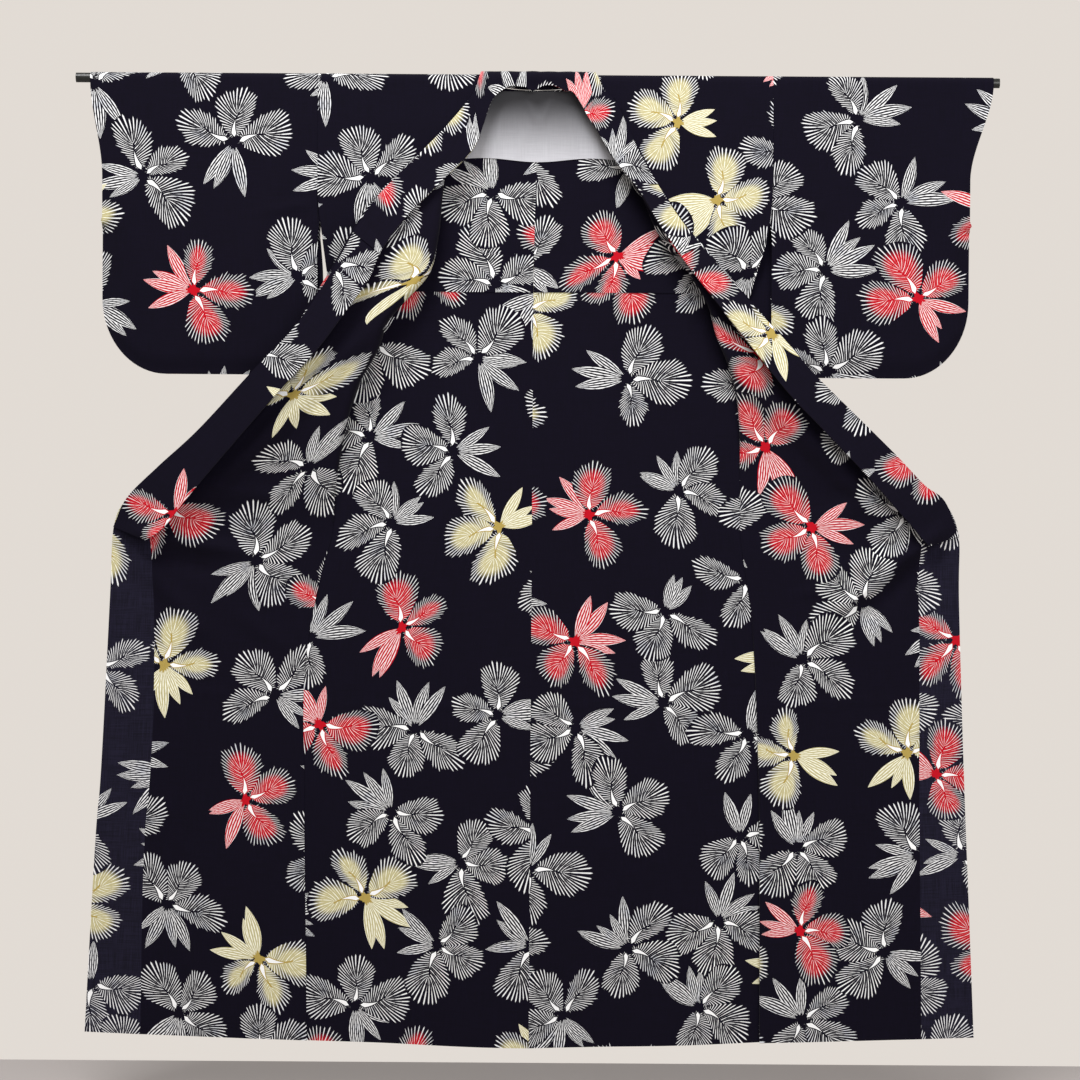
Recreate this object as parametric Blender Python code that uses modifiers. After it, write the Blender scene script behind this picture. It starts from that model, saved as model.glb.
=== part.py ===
"""Cotton yukata robe hung open on a rod, as separate cut and sewn pieces.

Left and right are the viewer's. X runs to the viewer's right, Y away from the viewer and Z up.
The origin is the middle of the rod's axis. All sizes are in metres.
"""

import math
from typing import NamedTuple

import bmesh
import bpy
import numpy as np

# Driving sizes
ROD_LENGTH = 1.44
ROD_RADIUS = 0.0075
CLOTH = 0.001
COLLAR_CLOTH = 0.0024
SEAM_GAP = 0.0003
COLLAR_EASE = 0.0004
ROD_SIDES = 32

# How far each layer bends from the rod's axis
BODY_BEND = ROD_RADIUS + SEAM_GAP + CLOTH / 2
COLLAR_BEND = BODY_BEND + CLOTH / 2 + SEAM_GAP + COLLAR_EASE + COLLAR_CLOTH / 2
LAYER_STEP = CLOTH + SEAM_GAP
COLLAR_STEP = COLLAR_CLOTH / 2 + SEAM_GAP + COLLAR_EASE + CLOTH / 2
# The cloth's path from the top of the rod to its front or back
QUARTER = 0.0157

LEFT = -1
RIGHT = 1

# Length and hem
HEM_DROP = 1.5125
HEM_RISE = 0.0265
HEM_HALF_WIDTH = 0.69
HEM_RISE_FROM = 0.8
NECK_HALF_WIDTH = 0.087
NECK_CUT = 0.0016
CENTRE_SHIFT = -0.005
CENTRE_SHIFT_DROP = 0.35

# Soft waves of the back panels
BACK_WAVE = 0.004
BACK_WAVE_LENGTH = 0.31
BACK_WAVE_FROM = 0.5

# Soft valley behind the collar band and the ridge beside it
VALLEY_DEPTH = 0.008
VALLEY_PLACE = 0.045
VALLEY_WIDTH = 0.030
RIDGE_HEIGHT = 0.007
RIDGE_PLACE = 0.115
RIDGE_WIDTH = 0.035
VALLEY_TOP = 0.33
VALLEY_BOTTOM = 0.78

# Waist tuck and shoulder lining
TUCK_EDGE_DROP = 0.330
TUCK_DEPTH = 0.060
TUCK_HALF_WIDTH = 0.285
LINING_TOP_DROP = 0.016
LINING_BOTTOM_DROP = 0.1235
LINING_WAVE = 0.003
LINING_LEFT = -0.150
LINING_RIGHT = 0.160

# Sleeves
SLEEVE_DROP = 0.4615
SLEEVE_CORNER_WIDTH = 0.100
SLEEVE_CORNER_HEIGHT = 0.119
SLEEVE_SEWN_FROM = 0.230
SLEEVE_PINCH = 0.030
SLEEVE_LOWER_DEPTH = 0.0055
CUFF_FLARE_DROP = 0.155
SLEEVE_LEAN_TOP = 0.195
SLEEVE_LEAN_BOTTOM = 0.315

OVER_COLLAR_HALF_LENGTH = 0.426


class CollarStation(NamedTuple):
    """Where the collar's seam and free edge pass, outwards from the centre."""

    seam_out: float
    seam_reach: float
    seam_forward: float
    edge_out: float
    edge_reach: float
    edge_forward: float


class FrontRow(NamedTuple):
    """A level of a front panel: its side edge, inner fold and the depths of both layers."""

    drop: float
    side_out: float
    side_y: float
    tip_out: float
    under_y: float
    over_y: float


class OkumiRow(NamedTuple):
    """The width of the overlap strip at a level."""

    drop: float
    width: float


COLLAR_LEFT = (
    CollarStation(0.002, -0.0287, 0.000, 0.002, 0.0277, 0.000),
    CollarStation(0.045, -0.0260, 0.000, 0.040, 0.0290, 0.001),
    CollarStation(0.072, -0.0160, 0.000, 0.058, 0.0360, 0.002),
    CollarStation(0.087, 0.0000, 0.000, 0.072, 0.0520, 0.004),
    CollarStation(0.100, 0.0377, 0.001, 0.084, 0.0877, 0.007),
    CollarStation(0.137, 0.0857, 0.005, 0.100, 0.1277, 0.012),
    CollarStation(0.188, 0.1407, 0.013, 0.148, 0.1787, 0.020),
    CollarStation(0.245, 0.2017, 0.024, 0.206, 0.2407, 0.032),
    CollarStation(0.281, 0.2567, 0.033, 0.240, 0.2907, 0.042),
    CollarStation(0.303, 0.2987, 0.038, 0.258, 0.3337, 0.048),
    CollarStation(0.339, 0.3607, 0.044, 0.291, 0.3817, 0.056),
    CollarStation(0.376, 0.4127, 0.046, 0.334, 0.4407, 0.058),
    CollarStation(0.437, 0.4767, 0.045, 0.392, 0.5047, 0.057),
    CollarStation(0.519, 0.5657, 0.040, 0.476, 0.6017, 0.052),
    CollarStation(0.582, 0.6237, 0.036, 0.531, 0.6667, 0.048),
    CollarStation(0.630, 0.6717, 0.032, 0.573, 0.7187, 0.042),
    CollarStation(0.651, 0.7167, 0.028, 0.599, 0.7367, 0.036),
)
COLLAR_RIGHT = (
    CollarStation(0.002, -0.0287, 0.000, 0.002, 0.0277, 0.000),
    CollarStation(0.041, -0.0260, 0.000, 0.036, 0.0290, 0.001),
    CollarStation(0.070, -0.0160, 0.000, 0.052, 0.0360, 0.002),
    CollarStation(0.087, 0.0000, 0.000, 0.066, 0.0520, 0.004),
    CollarStation(0.104, 0.0337, 0.001, 0.079, 0.0767, 0.007),
    CollarStation(0.123, 0.0537, 0.002, 0.092, 0.0957, 0.010),
    CollarStation(0.151, 0.1157, 0.005, 0.118, 0.1417, 0.018),
    CollarStation(0.184, 0.1767, 0.009, 0.156, 0.1907, 0.026),
    CollarStation(0.225, 0.2397, 0.015, 0.194, 0.2537, 0.034),
    CollarStation(0.265, 0.2877, 0.021, 0.232, 0.3067, 0.041),
    CollarStation(0.312, 0.3427, 0.028, 0.272, 0.3587, 0.048),
    CollarStation(0.334, 0.3687, 0.032, 0.296, 0.3897, 0.050),
    CollarStation(0.382, 0.4207, 0.038, 0.340, 0.4447, 0.052),
    CollarStation(0.429, 0.4747, 0.041, 0.388, 0.5047, 0.053),
    CollarStation(0.485, 0.5297, 0.041, 0.444, 0.5627, 0.052),
    CollarStation(0.554, 0.5967, 0.038, 0.512, 0.6327, 0.049),
    CollarStation(0.601, 0.6447, 0.034, 0.556, 0.6817, 0.046),
    CollarStation(0.632, 0.6687, 0.032, 0.580, 0.7077, 0.043),
    CollarStation(0.655, 0.7227, 0.028, 0.606, 0.7387, 0.036),
)
# Below the collar's ends the front edges run on to the hem
EDGE_LEFT = (
    CollarStation(0.657, 0.8257, 0.022, 0, 0, 0),
    CollarStation(0.671, 1.1067, 0.014, 0, 0, 0),
    CollarStation(0.679, 1.2157, 0.012, 0, 0, 0),
    CollarStation(0.695, 1.5282, 0.006, 0, 0, 0),
)
EDGE_RIGHT = (
    CollarStation(0.657, 0.8257, 0.023, 0, 0, 0),
    CollarStation(0.668, 1.1067, 0.015, 0, 0, 0),
    CollarStation(0.676, 1.2857, 0.011, 0, 0, 0),
    CollarStation(0.687, 1.5282, 0.006, 0, 0, 0),
)

FRONT_LEFT = (
    FrontRow(0.000, 0.342, -0.0083, 0.091, -0.0083, -0.0083),
    FrontRow(0.030, 0.342, -0.0090, 0.106, -0.0092, -0.0096),
    FrontRow(0.070, 0.342, -0.0095, 0.126, -0.0110, -0.0130),
    FrontRow(0.125, 0.342, -0.0100, 0.140, -0.0100, -0.0190),
    FrontRow(0.186, 0.341, -0.0105, 0.147, -0.0110, -0.0250),
    FrontRow(0.249, 0.334, -0.0100, 0.153, -0.0110, -0.0310),
    FrontRow(0.310, 0.326, -0.0030, 0.170, -0.0090, -0.0340),
    FrontRow(0.350, 0.322, 0.0040, 0.206, -0.0070, -0.0350),
    FrontRow(0.380, 0.320, 0.0069, 0.230, -0.0060, -0.0350),
    FrontRow(0.420, 0.318, 0.0069, 0.244, -0.0050, -0.0340),
    FrontRow(0.475, 0.316, 0.0069, 0.274, -0.0040, -0.0310),
    FrontRow(0.545, 0.315, 0.0069, 0.295, -0.0010, -0.0240),
    FrontRow(0.600, 0.315, 0.0069, 0.306, 0.0030, -0.0140),
    FrontRow(0.650, 0.315, 0.0069, 0.313, 0.0060, -0.0020),
    FrontRow(0.701, 0.316, 0.0069, 0.316, 0.0069, 0.0069),
    FrontRow(0.773, 0.334, 0.0069, 0.334, 0.0069, 0.0069),
    FrontRow(0.888, 0.355, 0.0069, 0.355, 0.0069, 0.0069),
    FrontRow(1.123, 0.358, 0.0069, 0.358, 0.0069, 0.0069),
    FrontRow(1.372, 0.354, 0.0069, 0.354, 0.0069, 0.0069),
    FrontRow(HEM_DROP, 0.352, 0.0069, 0.352, 0.0069, 0.0069),
)
FRONT_RIGHT = (
    FrontRow(0.000, 0.367, -0.0083, 0.090, -0.0083, -0.0083),
    FrontRow(0.030, 0.367, -0.0090, 0.114, -0.0092, -0.0098),
    FrontRow(0.070, 0.367, -0.0095, 0.130, -0.0108, -0.0115),
    FrontRow(0.125, 0.367, -0.0100, 0.142, -0.0100, -0.0125),
    FrontRow(0.186, 0.366, -0.0105, 0.165, -0.0105, -0.0155),
    FrontRow(0.249, 0.358, -0.0100, 0.194, -0.0105, -0.0190),
    FrontRow(0.310, 0.340, -0.0030, 0.243, -0.0090, -0.0240),
    FrontRow(0.350, 0.330, 0.0040, 0.266, -0.0070, -0.0280),
    FrontRow(0.400, 0.322, 0.0069, 0.280, -0.0050, -0.0300),
    FrontRow(0.453, 0.320, 0.0069, 0.302, -0.0020, -0.0240),
    FrontRow(0.500, 0.320, 0.0069, 0.314, 0.0030, -0.0120),
    FrontRow(0.560, 0.320, 0.0069, 0.319, 0.0060, -0.0010),
    FrontRow(0.620, 0.320, 0.0069, 0.320, 0.0069, 0.0069),
    FrontRow(0.700, 0.321, 0.0069, 0.321, 0.0069, 0.0069),
    FrontRow(0.826, 0.338, 0.0069, 0.338, 0.0069, 0.0069),
    FrontRow(1.013, 0.350, 0.0069, 0.350, 0.0069, 0.0069),
    FrontRow(1.170, 0.354, 0.0069, 0.354, 0.0069, 0.0069),
    FrontRow(HEM_DROP, 0.357, 0.0069, 0.357, 0.0069, 0.0069),
)

OKUMI_TOP_DROP = 0.400
OKUMI_LEFT = (
    OkumiRow(0.360, 0.000),
    OkumiRow(OKUMI_TOP_DROP, 0.007),
    OkumiRow(0.550, 0.030),
    OkumiRow(0.701, 0.056),
    OkumiRow(0.800, 0.066),
    OkumiRow(0.970, 0.075),
    OkumiRow(1.200, 0.076),
    OkumiRow(HEM_DROP, 0.086),
)
OKUMI_RIGHT = (
    OkumiRow(0.360, 0.000),
    OkumiRow(OKUMI_TOP_DROP, 0.007),
    OkumiRow(0.550, 0.030),
    OkumiRow(0.707, 0.058),
    OkumiRow(0.870, 0.062),
    OkumiRow(1.100, 0.069),
    OkumiRow(HEM_DROP, 0.081),
)

STATIONS = {LEFT: COLLAR_LEFT, RIGHT: COLLAR_RIGHT}
EDGES = {LEFT: EDGE_LEFT, RIGHT: EDGE_RIGHT}
FRONTS = {LEFT: FRONT_LEFT, RIGHT: FRONT_RIGHT}
OKUMIS = {LEFT: OKUMI_LEFT, RIGHT: OKUMI_RIGHT}
CUFF_TOP = {LEFT: 0.697, RIGHT: 0.710}
CUFF_OUT = {LEFT: 0.677, RIGHT: 0.674}
SLEEVE_LEAN = {LEFT: 0.008, RIGHT: 0.034}

# Levels and columns of the meshes
ARC_REACHES = (0.00015, 0.0040, 0.0080, 0.0120)
BACK_DROPS = (
    0.0, 0.02, 0.06, 0.13, 0.21, 0.29, 0.37, 0.45, 0.54, 0.63, 0.72, 0.82, 0.93,
    1.05, 1.17, 1.29, 1.41, HEM_DROP,
)
FRONT_DROPS = (
    0.0, 0.02, 0.05, 0.09, 0.13, 0.16, 0.19, 0.22, 0.25, 0.275, 0.30, 0.32, 0.34, 0.36, 0.38,
    0.40, 0.425, 0.455, 0.485, 0.52, 0.56, 0.60, 0.64, 0.68, 0.74, 0.82, 0.93, 1.05, 1.17, 1.29,
    1.41, HEM_DROP,
)
FRONT_COLUMNS = 19
OKUMI_COLUMNS = 4
BACK_NECK_COLUMNS = (0.0, 0.28, 0.55, 0.74, 0.83, 0.88, 0.925, 0.965, 1.0)
BACK_SIDE_COLUMNS = 4
SLEEVE_COLUMNS = 6
SLEEVE_CORNER_COLUMNS = 6
SLEEVE_ROWS = 8
COLLAR_COLUMNS = 9
COLLAR_SPACING = 0.040
NECK_SPACING = 0.0065
NECK_STRETCH = 0.130
SECTION_STEPS = 24

NAVY = (0.010, 0.008, 0.022, 1.0)
NAVY_SHADE = (0.007, 0.006, 0.016, 1.0)
WHITE_COTTON = (0.62, 0.62, 0.64, 1.0)
DARK_LACQUER = (0.012, 0.013, 0.012, 1.0)


def smooth_table(rows, samples):
    """Points on a smooth curve through the rows, at fractions from 0 to 1 of its length."""
    points = np.array(rows, float)
    ends = np.vstack([2 * points[0] - points[1], points, 2 * points[-1] - points[-2]])
    steps = np.linspace(0, 1, SECTION_STEPS, endpoint=False)[:, None]
    parts = []
    for before, start, stop, after in zip(ends, ends[1:], ends[2:], ends[3:]):
        bend = 2 * before - 5 * start + 4 * stop - after
        twist = 3 * start - before - 3 * stop + after
        parts.append(start + 0.5 * steps * (stop - before + steps * (bend + steps * twist)))
    curve = np.vstack([*parts, points[-1:]])
    lengths = np.linalg.norm(np.diff(curve[:, :2], axis=0), axis=1)
    along = np.concatenate([[0], np.cumsum(lengths)])
    places = np.asarray(samples) * along[-1]
    return np.stack([np.interp(places, along, column) for column in curve.T], axis=1)


def level_table(rows, drops):
    """The rows' other columns, interpolated smoothly at these drops."""
    table = np.array(rows, float)
    drops = np.asarray(drops, float)
    slopes = np.gradient(table[:, 1:], table[:, 0], axis=0)
    index = np.clip(np.searchsorted(table[:, 0], drops, side="right") - 1, 0, len(table) - 2)
    span = table[index + 1, 0] - table[index, 0]
    share = np.clip((drops - table[index, 0]) / span, 0, 1)[:, None]
    span = span[:, None]
    start, stop = table[index, 1:], table[index + 1, 1:]
    rise = share * share * (3 - 2 * share)
    lean = share * (1 - share) ** 2 * span * slopes[index]
    settle = share * share * (share - 1) * span * slopes[index + 1]
    return start + (stop - start) * rise + lean + settle


def ease(value, low, high):
    """A smooth step from 0 at low to 1 at high."""
    share = np.clip((value - low) / (high - low), 0, 1)
    return share * share * (3 - 2 * share)


def bump(distance, place, width):
    """A smooth hump of height 1 at a place, gone beyond its width."""
    share = np.clip(np.abs(distance - place) / width, 0, 1)
    return (1 - share * share) ** 2


def over_rod(reach, bend):
    """Depth and height of a path over the rod: reach is 0 on top and positive down the front."""
    turn = np.clip(reach / QUARTER, -1, 1) * math.pi / 2
    fall = np.maximum(np.abs(reach) - QUARTER, 0)
    return -bend * np.sin(turn), bend * np.cos(turn) - fall


def hem_lift(out, drop):
    """How much higher the cloth hangs here than at the centre back."""
    rise = HEM_RISE * np.abs(out / HEM_HALF_WIDTH) ** 1.3
    return rise * ease(drop, HEM_RISE_FROM, HEM_DROP)


def back_y(x, drop):
    """Depth of the back panels' middle surface."""
    wave = BACK_WAVE * ease(drop, BACK_WAVE_FROM, HEM_DROP)
    return BODY_BEND + wave * (1 + np.sin(2 * math.pi * x / BACK_WAVE_LENGTH))


def seam_line(side):
    """The collar seam and the front edge below it, as rows of (reach, out, forward)."""
    rows = STATIONS[side] + EDGES[side]
    curve = smooth_table(rows, np.linspace(0, 1, 400))
    return curve[:, [1, 0, 2]]


def seam_at(side, reach):
    """Outward place and forward stand of the collar seam at a reach down the front."""
    line = seam_line(side)
    return [np.interp(reach, line[:, 0], line[:, column]) for column in (1, 2)]


def front_section(side, drop):
    """The front panel's dense section at a level, from its side edge to its collar seam."""
    side_out, side_y, tip_out, under_y, over_y = level_table(FRONTS[side], [drop])[0]
    seam_out, forward = seam_at(side, drop + QUARTER)
    seam_y = -BODY_BEND - forward
    if side_y > 0:
        side_y += back_y(side * side_out, drop) - BODY_BEND
    half_depth = abs(under_y - over_y) / 2
    tuck_in = min(0.012, half_depth)
    turn = np.linspace(0, math.pi, SECTION_STEPS)
    share = np.linspace(0, 1, SECTION_STEPS)
    tip = tip_out + tuck_in * (1 - np.sin(turn))
    middle = (under_y + over_y) / 2
    side_part = [side_out + share * (tip[0] - side_out), side_y + share * (under_y - side_y)]
    tip_part = [tip, middle + (under_y - over_y) / 2 * np.cos(turn)]
    seam_part = [tip[-1] + share * (seam_out - tip[-1]), over_y + share * (seam_y - over_y)]
    curve = np.hstack([side_part, tip_part, seam_part]).T
    lengths = np.linalg.norm(np.diff(curve, axis=0), axis=1)
    along = np.concatenate([[0], np.cumsum(lengths)])
    from_seam = along[-1] - along
    fade = ease(drop, VALLEY_TOP, VALLEY_TOP + 0.1)
    fade *= 1 - ease(drop, VALLEY_BOTTOM - 0.2, VALLEY_BOTTOM)
    valley = VALLEY_DEPTH * bump(from_seam, VALLEY_PLACE, VALLEY_WIDTH)
    ridge = RIDGE_HEIGHT * bump(from_seam, RIDGE_PLACE, RIDGE_WIDTH)
    curve[:, 1] += fade * (valley - ridge)
    return along, curve


def front_points(side, reach, inner, width_from, shares):
    """Points of a front panel at a level: shares run between two distances from the seam."""
    if reach <= QUARTER:
        side_out = FRONTS[side][0].side_out - SEAM_GAP / 2
        seam_out = seam_at(side, reach)[0] + SEAM_GAP / 2
        out = side_out + shares * (seam_out - side_out)
        y, z = over_rod(reach, BODY_BEND)
        return [(side * place, float(y), float(z)) for place in out]
    drop = reach - QUARTER
    along, curve = front_section(side, drop)
    start = along[-1] - width_from if width_from else 0.0
    places = start + shares * (along[-1] - inner - start)
    out = np.interp(places, along, curve[:, 0])
    y = np.interp(places, along, curve[:, 1])
    z = -drop + hem_lift(out, drop)
    return [(side * a, b, c) for a, b, c in zip(out, y, z)]


def okumi_width(side, drop):
    """Width of the overlap strip at a level."""
    return max(0.0, float(level_table(OKUMIS[side], [drop])[0, 0]))


def front_sheet(side):
    """Rows of points of a front panel, up to its overlap strip."""
    shares = np.linspace(0, 1, FRONT_COLUMNS)
    reaches = [*ARC_REACHES, *(QUARTER + drop for drop in FRONT_DROPS)]
    rows = []
    for reach in reaches:
        width = okumi_width(side, max(reach - QUARTER, 0.0))
        rows.append(front_points(side, reach, width + SEAM_GAP, 0.0, shares))
    return rows


def okumi_sheet(side):
    """Rows of points of an overlap strip."""
    shares = np.linspace(0, 1, OKUMI_COLUMNS)
    rows = []
    for drop in FRONT_DROPS:
        if drop >= OKUMI_TOP_DROP:
            width = okumi_width(side, drop)
            rows.append(front_points(side, drop + QUARTER, 0.0, width, shares))
    return rows


def neckline(side):
    """The back neckline, as rows of (out, reach) up to the neck point."""
    line = seam_line(side)
    line = line[line[:, 0] <= 0.0005]
    return line[:, 1], -line[:, 0]


def back_sheet(side):
    """Rows of points of a back panel, from the shoulder and neckline to the hem."""
    neck = np.array(BACK_NECK_COLUMNS) * NECK_HALF_WIDTH
    outs, reaches = neckline(side)
    order = np.argsort(outs)
    side_top = FRONTS[side][0].side_out
    flank = np.linspace(NECK_HALF_WIDTH, side_top, BACK_SIDE_COLUMNS + 1)[1:]
    columns = np.concatenate([neck, flank])
    neck_reach = np.interp(columns, outs[order], reaches[order])
    top = np.where(columns < NECK_HALF_WIDTH, neck_reach, 0.0) + NECK_CUT
    full = QUARTER + HEM_DROP
    rows = []
    for reach in [*ARC_REACHES, *(QUARTER + drop for drop in BACK_DROPS)]:
        places = top + reach * (full - top) / full
        drops = np.maximum(places - QUARTER, 0.0)
        level = float(max(reach - QUARTER, 0.0))
        side_out = level_table(FRONTS[side], [level])[0, 0]
        centre = CENTRE_SHIFT * ease(drops, 0.0, CENTRE_SHIFT_DROP)
        out = columns * side_out / side_top
        x = side * (SEAM_GAP / 2 + out * (1 - SEAM_GAP / side_out))
        x = x + centre * (1 - columns / side_top)
        y, z = over_rod(-places, BODY_BEND)
        y = y + back_y(x, drops) - BODY_BEND
        z = z + hem_lift(out, drops)
        rows.append(list(zip(x, y, z)))
    return rows


def tuck_sheet(side):
    """Rows of points of half of the waist tuck, on the inside of the back."""
    shares = np.linspace(0, 1, 9)
    rows = []
    for drop in np.linspace(TUCK_EDGE_DROP - TUCK_DEPTH, TUCK_EDGE_DROP, 4):
        centre = CENTRE_SHIFT * float(ease(drop, 0.0, CENTRE_SHIFT_DROP))
        start = centre + side * SEAM_GAP
        x = start + shares * (side * TUCK_HALF_WIDTH - start)
        rows.append([(a, float(back_y(a, drop)) - LAYER_STEP, -drop) for a in x])
    return rows


def lining_sheet():
    """Rows of points of the shoulder lining, on the inside of the back."""
    x = np.linspace(LINING_LEFT, LINING_RIGHT, 13)
    bottom = LINING_BOTTOM_DROP + LINING_WAVE * np.cos(2 * math.pi * x / 0.17)
    rows = []
    for share in np.linspace(0, 1, 6):
        drops = LINING_TOP_DROP + share * (bottom - LINING_TOP_DROP)
        y = back_y(x, drops) - LAYER_STEP
        rows.append(list(zip(x, y, -drops)))
    return rows


def sleeve_sheet(side, face):
    """Rows of points of one face of a sleeve: face is -1 in front of the rod and 1 behind."""
    furi = FRONTS[side][0].side_out + SEAM_GAP / 2
    cuff = CUFF_OUT[side]
    corner = cuff - SLEEVE_CORNER_WIDTH
    straight = np.linspace(furi, corner, SLEEVE_COLUMNS)
    turn = np.linspace(0, math.pi / 2, SLEEVE_CORNER_COLUMNS + 1)[1:]
    bottom_out = np.concatenate([straight, corner + SLEEVE_CORNER_WIDTH * np.sin(turn)])
    lifted = SLEEVE_CORNER_HEIGHT * (1 - np.cos(turn))
    bottom = SLEEVE_DROP - np.concatenate([np.zeros(SLEEVE_COLUMNS), lifted])
    shares = (bottom_out - furi) / (cuff - furi)
    levels = np.linspace(0, 1, SLEEVE_ROWS + 1)
    rows = []
    for reach in ARC_REACHES:
        out = furi + shares * (CUFF_TOP[side] - furi)
        y, z = over_rod(face * -reach, BODY_BEND)
        rows.append([(side * place, float(y), float(z)) for place in out])
    for level in levels:
        drops = level * bottom
        flare = CUFF_TOP[side] - cuff
        reach_out = cuff + flare * (1 - ease(drops, 0.0, CUFF_FLARE_DROP))
        lean = SLEEVE_LEAN[side] * (face > 0)
        inner = furi - lean * ease(drops, SLEEVE_LEAN_TOP, SLEEVE_LEAN_BOTTOM)
        out = inner + shares * (reach_out - inner)
        to_bottom = bottom - drops
        to_cuff = np.where(drops > SLEEVE_SEWN_FROM, reach_out - out, SLEEVE_PINCH)
        open_share = np.minimum(ease(to_bottom, 0, SLEEVE_PINCH), ease(to_cuff, 0, SLEEVE_PINCH))
        sewn = CLOTH / 2 + SEAM_GAP / 2
        depth = BODY_BEND + (SLEEVE_LOWER_DEPTH - BODY_BEND) * ease(drops, 0.0, SLEEVE_DROP)
        y = face * (sewn + (depth - sewn) * open_share)
        rows.append(list(zip(side * out, y, -drops)))
    return rows


def collar_path():
    """The whole collar's stations from the left end round the neck to the right end."""
    left = [(-s.seam_out, *s[1:3], -s.edge_out, *s[4:]) for s in reversed(COLLAR_LEFT)]
    right = [tuple(s) for s in COLLAR_RIGHT]
    middle = tuple((a + b) / 2 for a, b in zip(left[-1], right[0]))
    stations = [*left[:-1], middle, *right[1:]]
    lengths = np.linalg.norm(np.diff(np.array(stations)[:, :2], axis=0), axis=1)
    return stations, np.concatenate([[0], np.cumsum(lengths)])


def moved_out(rows, distance):
    """The rows of points, moved out from the rod or towards the viewer along the sheet's normals."""
    points = np.array(rows, float)
    normals = np.cross(np.gradient(points, axis=1), np.gradient(points, axis=0))
    normals /= np.linalg.norm(normals, axis=2)[:, :, None]
    return points + distance * normals


def collar_places():
    """Lengths along the collar of its rows, and those where the over-collar starts and ends."""
    along = collar_path()[1]
    middle = along[len(COLLAR_LEFT) - 1]
    start = middle - OVER_COLLAR_HALF_LENGTH
    end = middle + OVER_COLLAR_HALF_LENGTH
    marks = (0.0, start, middle - NECK_STRETCH, middle + NECK_STRETCH, end, along[-1])
    spacings = (COLLAR_SPACING, COLLAR_SPACING, NECK_SPACING, COLLAR_SPACING, COLLAR_SPACING)
    places = [0.0]
    for low, high, spacing in zip(marks, marks[1:], spacings):
        places.extend(np.linspace(low, high, int(round((high - low) / spacing)) + 1)[1:])
    return np.array(places), start, end


def collar_sheet():
    """Rows of points along the collar from its left end to its right end."""
    stations, along = collar_path()
    across = np.linspace(0, 1, COLLAR_COLUMNS)
    rows = []
    for station in smooth_table(stations, collar_places()[0] / along[-1]):
        seam_x, seam_reach, seam_forward, edge_x, edge_reach, edge_forward = station
        x = seam_x + across * (edge_x - seam_x)
        reach = seam_reach + across * (edge_reach - seam_reach)
        forward = seam_forward + across * (edge_forward - seam_forward)
        y, z = over_rod(reach, COLLAR_BEND)
        rows.append(list(zip(x, y - forward, z)))
    return rows


def over_collar_sheet():
    """Rows of points of the over-collar: the collar's own points, moved out."""
    places, start, end = collar_places()
    rows = moved_out(collar_sheet(), COLLAR_STEP)
    covered = (places > start - SEAM_GAP) & (places < end + SEAM_GAP)
    return rows[covered]


def new_material(name, colour, roughness):
    """A plain Principled material."""
    material = bpy.data.materials.new(name)
    material.use_nodes = True
    shader = material.node_tree.nodes["Principled BSDF"]
    shader.inputs["Base Color"].default_value = colour
    shader.inputs["Roughness"].default_value = roughness
    return material


def sheet_object(name, rows, thickness, material, collection):
    """A cloth wall: a grid laid on the rows of points and given its thickness."""
    down, across = len(rows), len(rows[0])
    mesh = bpy.data.meshes.new(name)
    form = bmesh.new()
    bmesh.ops.create_grid(form, x_segments=across - 1, y_segments=down - 1, size=0.5)
    for vertex in form.verts:
        column = round((vertex.co.x + 0.5) * (across - 1))
        row = round((vertex.co.y + 0.5) * (down - 1))
        vertex.co = rows[row][column]
    form.to_mesh(mesh)
    form.free()
    mesh.shade_smooth()
    piece = bpy.data.objects.new(name, mesh)
    wall = piece.modifiers.new("Wall", "SOLIDIFY")
    wall.thickness = thickness
    wall.offset = 0.0
    wall.use_even_offset = True
    mesh.materials.append(material)
    collection.objects.link(piece)
    return piece


def rod_object(name, material, collection):
    """The straight hanging rod along X."""
    mesh = bpy.data.meshes.new(name)
    form = bmesh.new()
    bmesh.ops.create_cone(
        form, cap_ends=True, segments=ROD_SIDES, radius1=ROD_RADIUS, radius2=ROD_RADIUS, depth=ROD_LENGTH
    )
    form.to_mesh(mesh)
    form.free()
    mesh.shade_smooth()
    mesh.set_sharp_from_angle(angle=math.radians(40))
    mesh.materials.append(material)
    rod = bpy.data.objects.new(name, mesh)
    rod.rotation_euler = (0, math.pi / 2, 0)
    collection.objects.link(rod)
    return rod


def clear_scene():
    """Remove the objects the file starts with."""
    for old in list(bpy.data.objects):
        bpy.data.objects.remove(old)


def main():
    """Build every piece of the robe and the rod that holds it."""
    clear_scene()
    robe = bpy.data.collections.new("yukata_robe")
    bpy.context.scene.collection.children.link(robe)
    navy = new_material("navy_cotton", NAVY, 0.85)
    shade = new_material("navy_cotton_inside", NAVY_SHADE, 0.85)
    white = new_material("white_cotton", WHITE_COTTON, 0.8)
    lacquer = new_material("dark_lacquer", DARK_LACQUER, 0.3)
    for side, word in ((LEFT, "left"), (RIGHT, "right")):
        sheet_object(f"back_{word}", back_sheet(side), CLOTH, shade, robe)
        sheet_object(f"front_{word}", front_sheet(side), CLOTH, navy, robe)
        sheet_object(f"okumi_{word}", okumi_sheet(side), CLOTH, navy, robe)
        sheet_object(f"sleeve_{word}_front", sleeve_sheet(side, -1), CLOTH, navy, robe)
        sheet_object(f"sleeve_{word}_back", sleeve_sheet(side, 1), CLOTH, navy, robe)
        sheet_object(f"waist_tuck_{word}", tuck_sheet(side), CLOTH, shade, robe)
    sheet_object("collar", collar_sheet(), COLLAR_CLOTH, navy, robe)
    sheet_object("over_collar", over_collar_sheet(), CLOTH, navy, robe)
    sheet_object("shoulder_lining", lining_sheet(), CLOTH, white, robe)
    rod_object("hanging_rod", lacquer, robe)


main()
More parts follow.
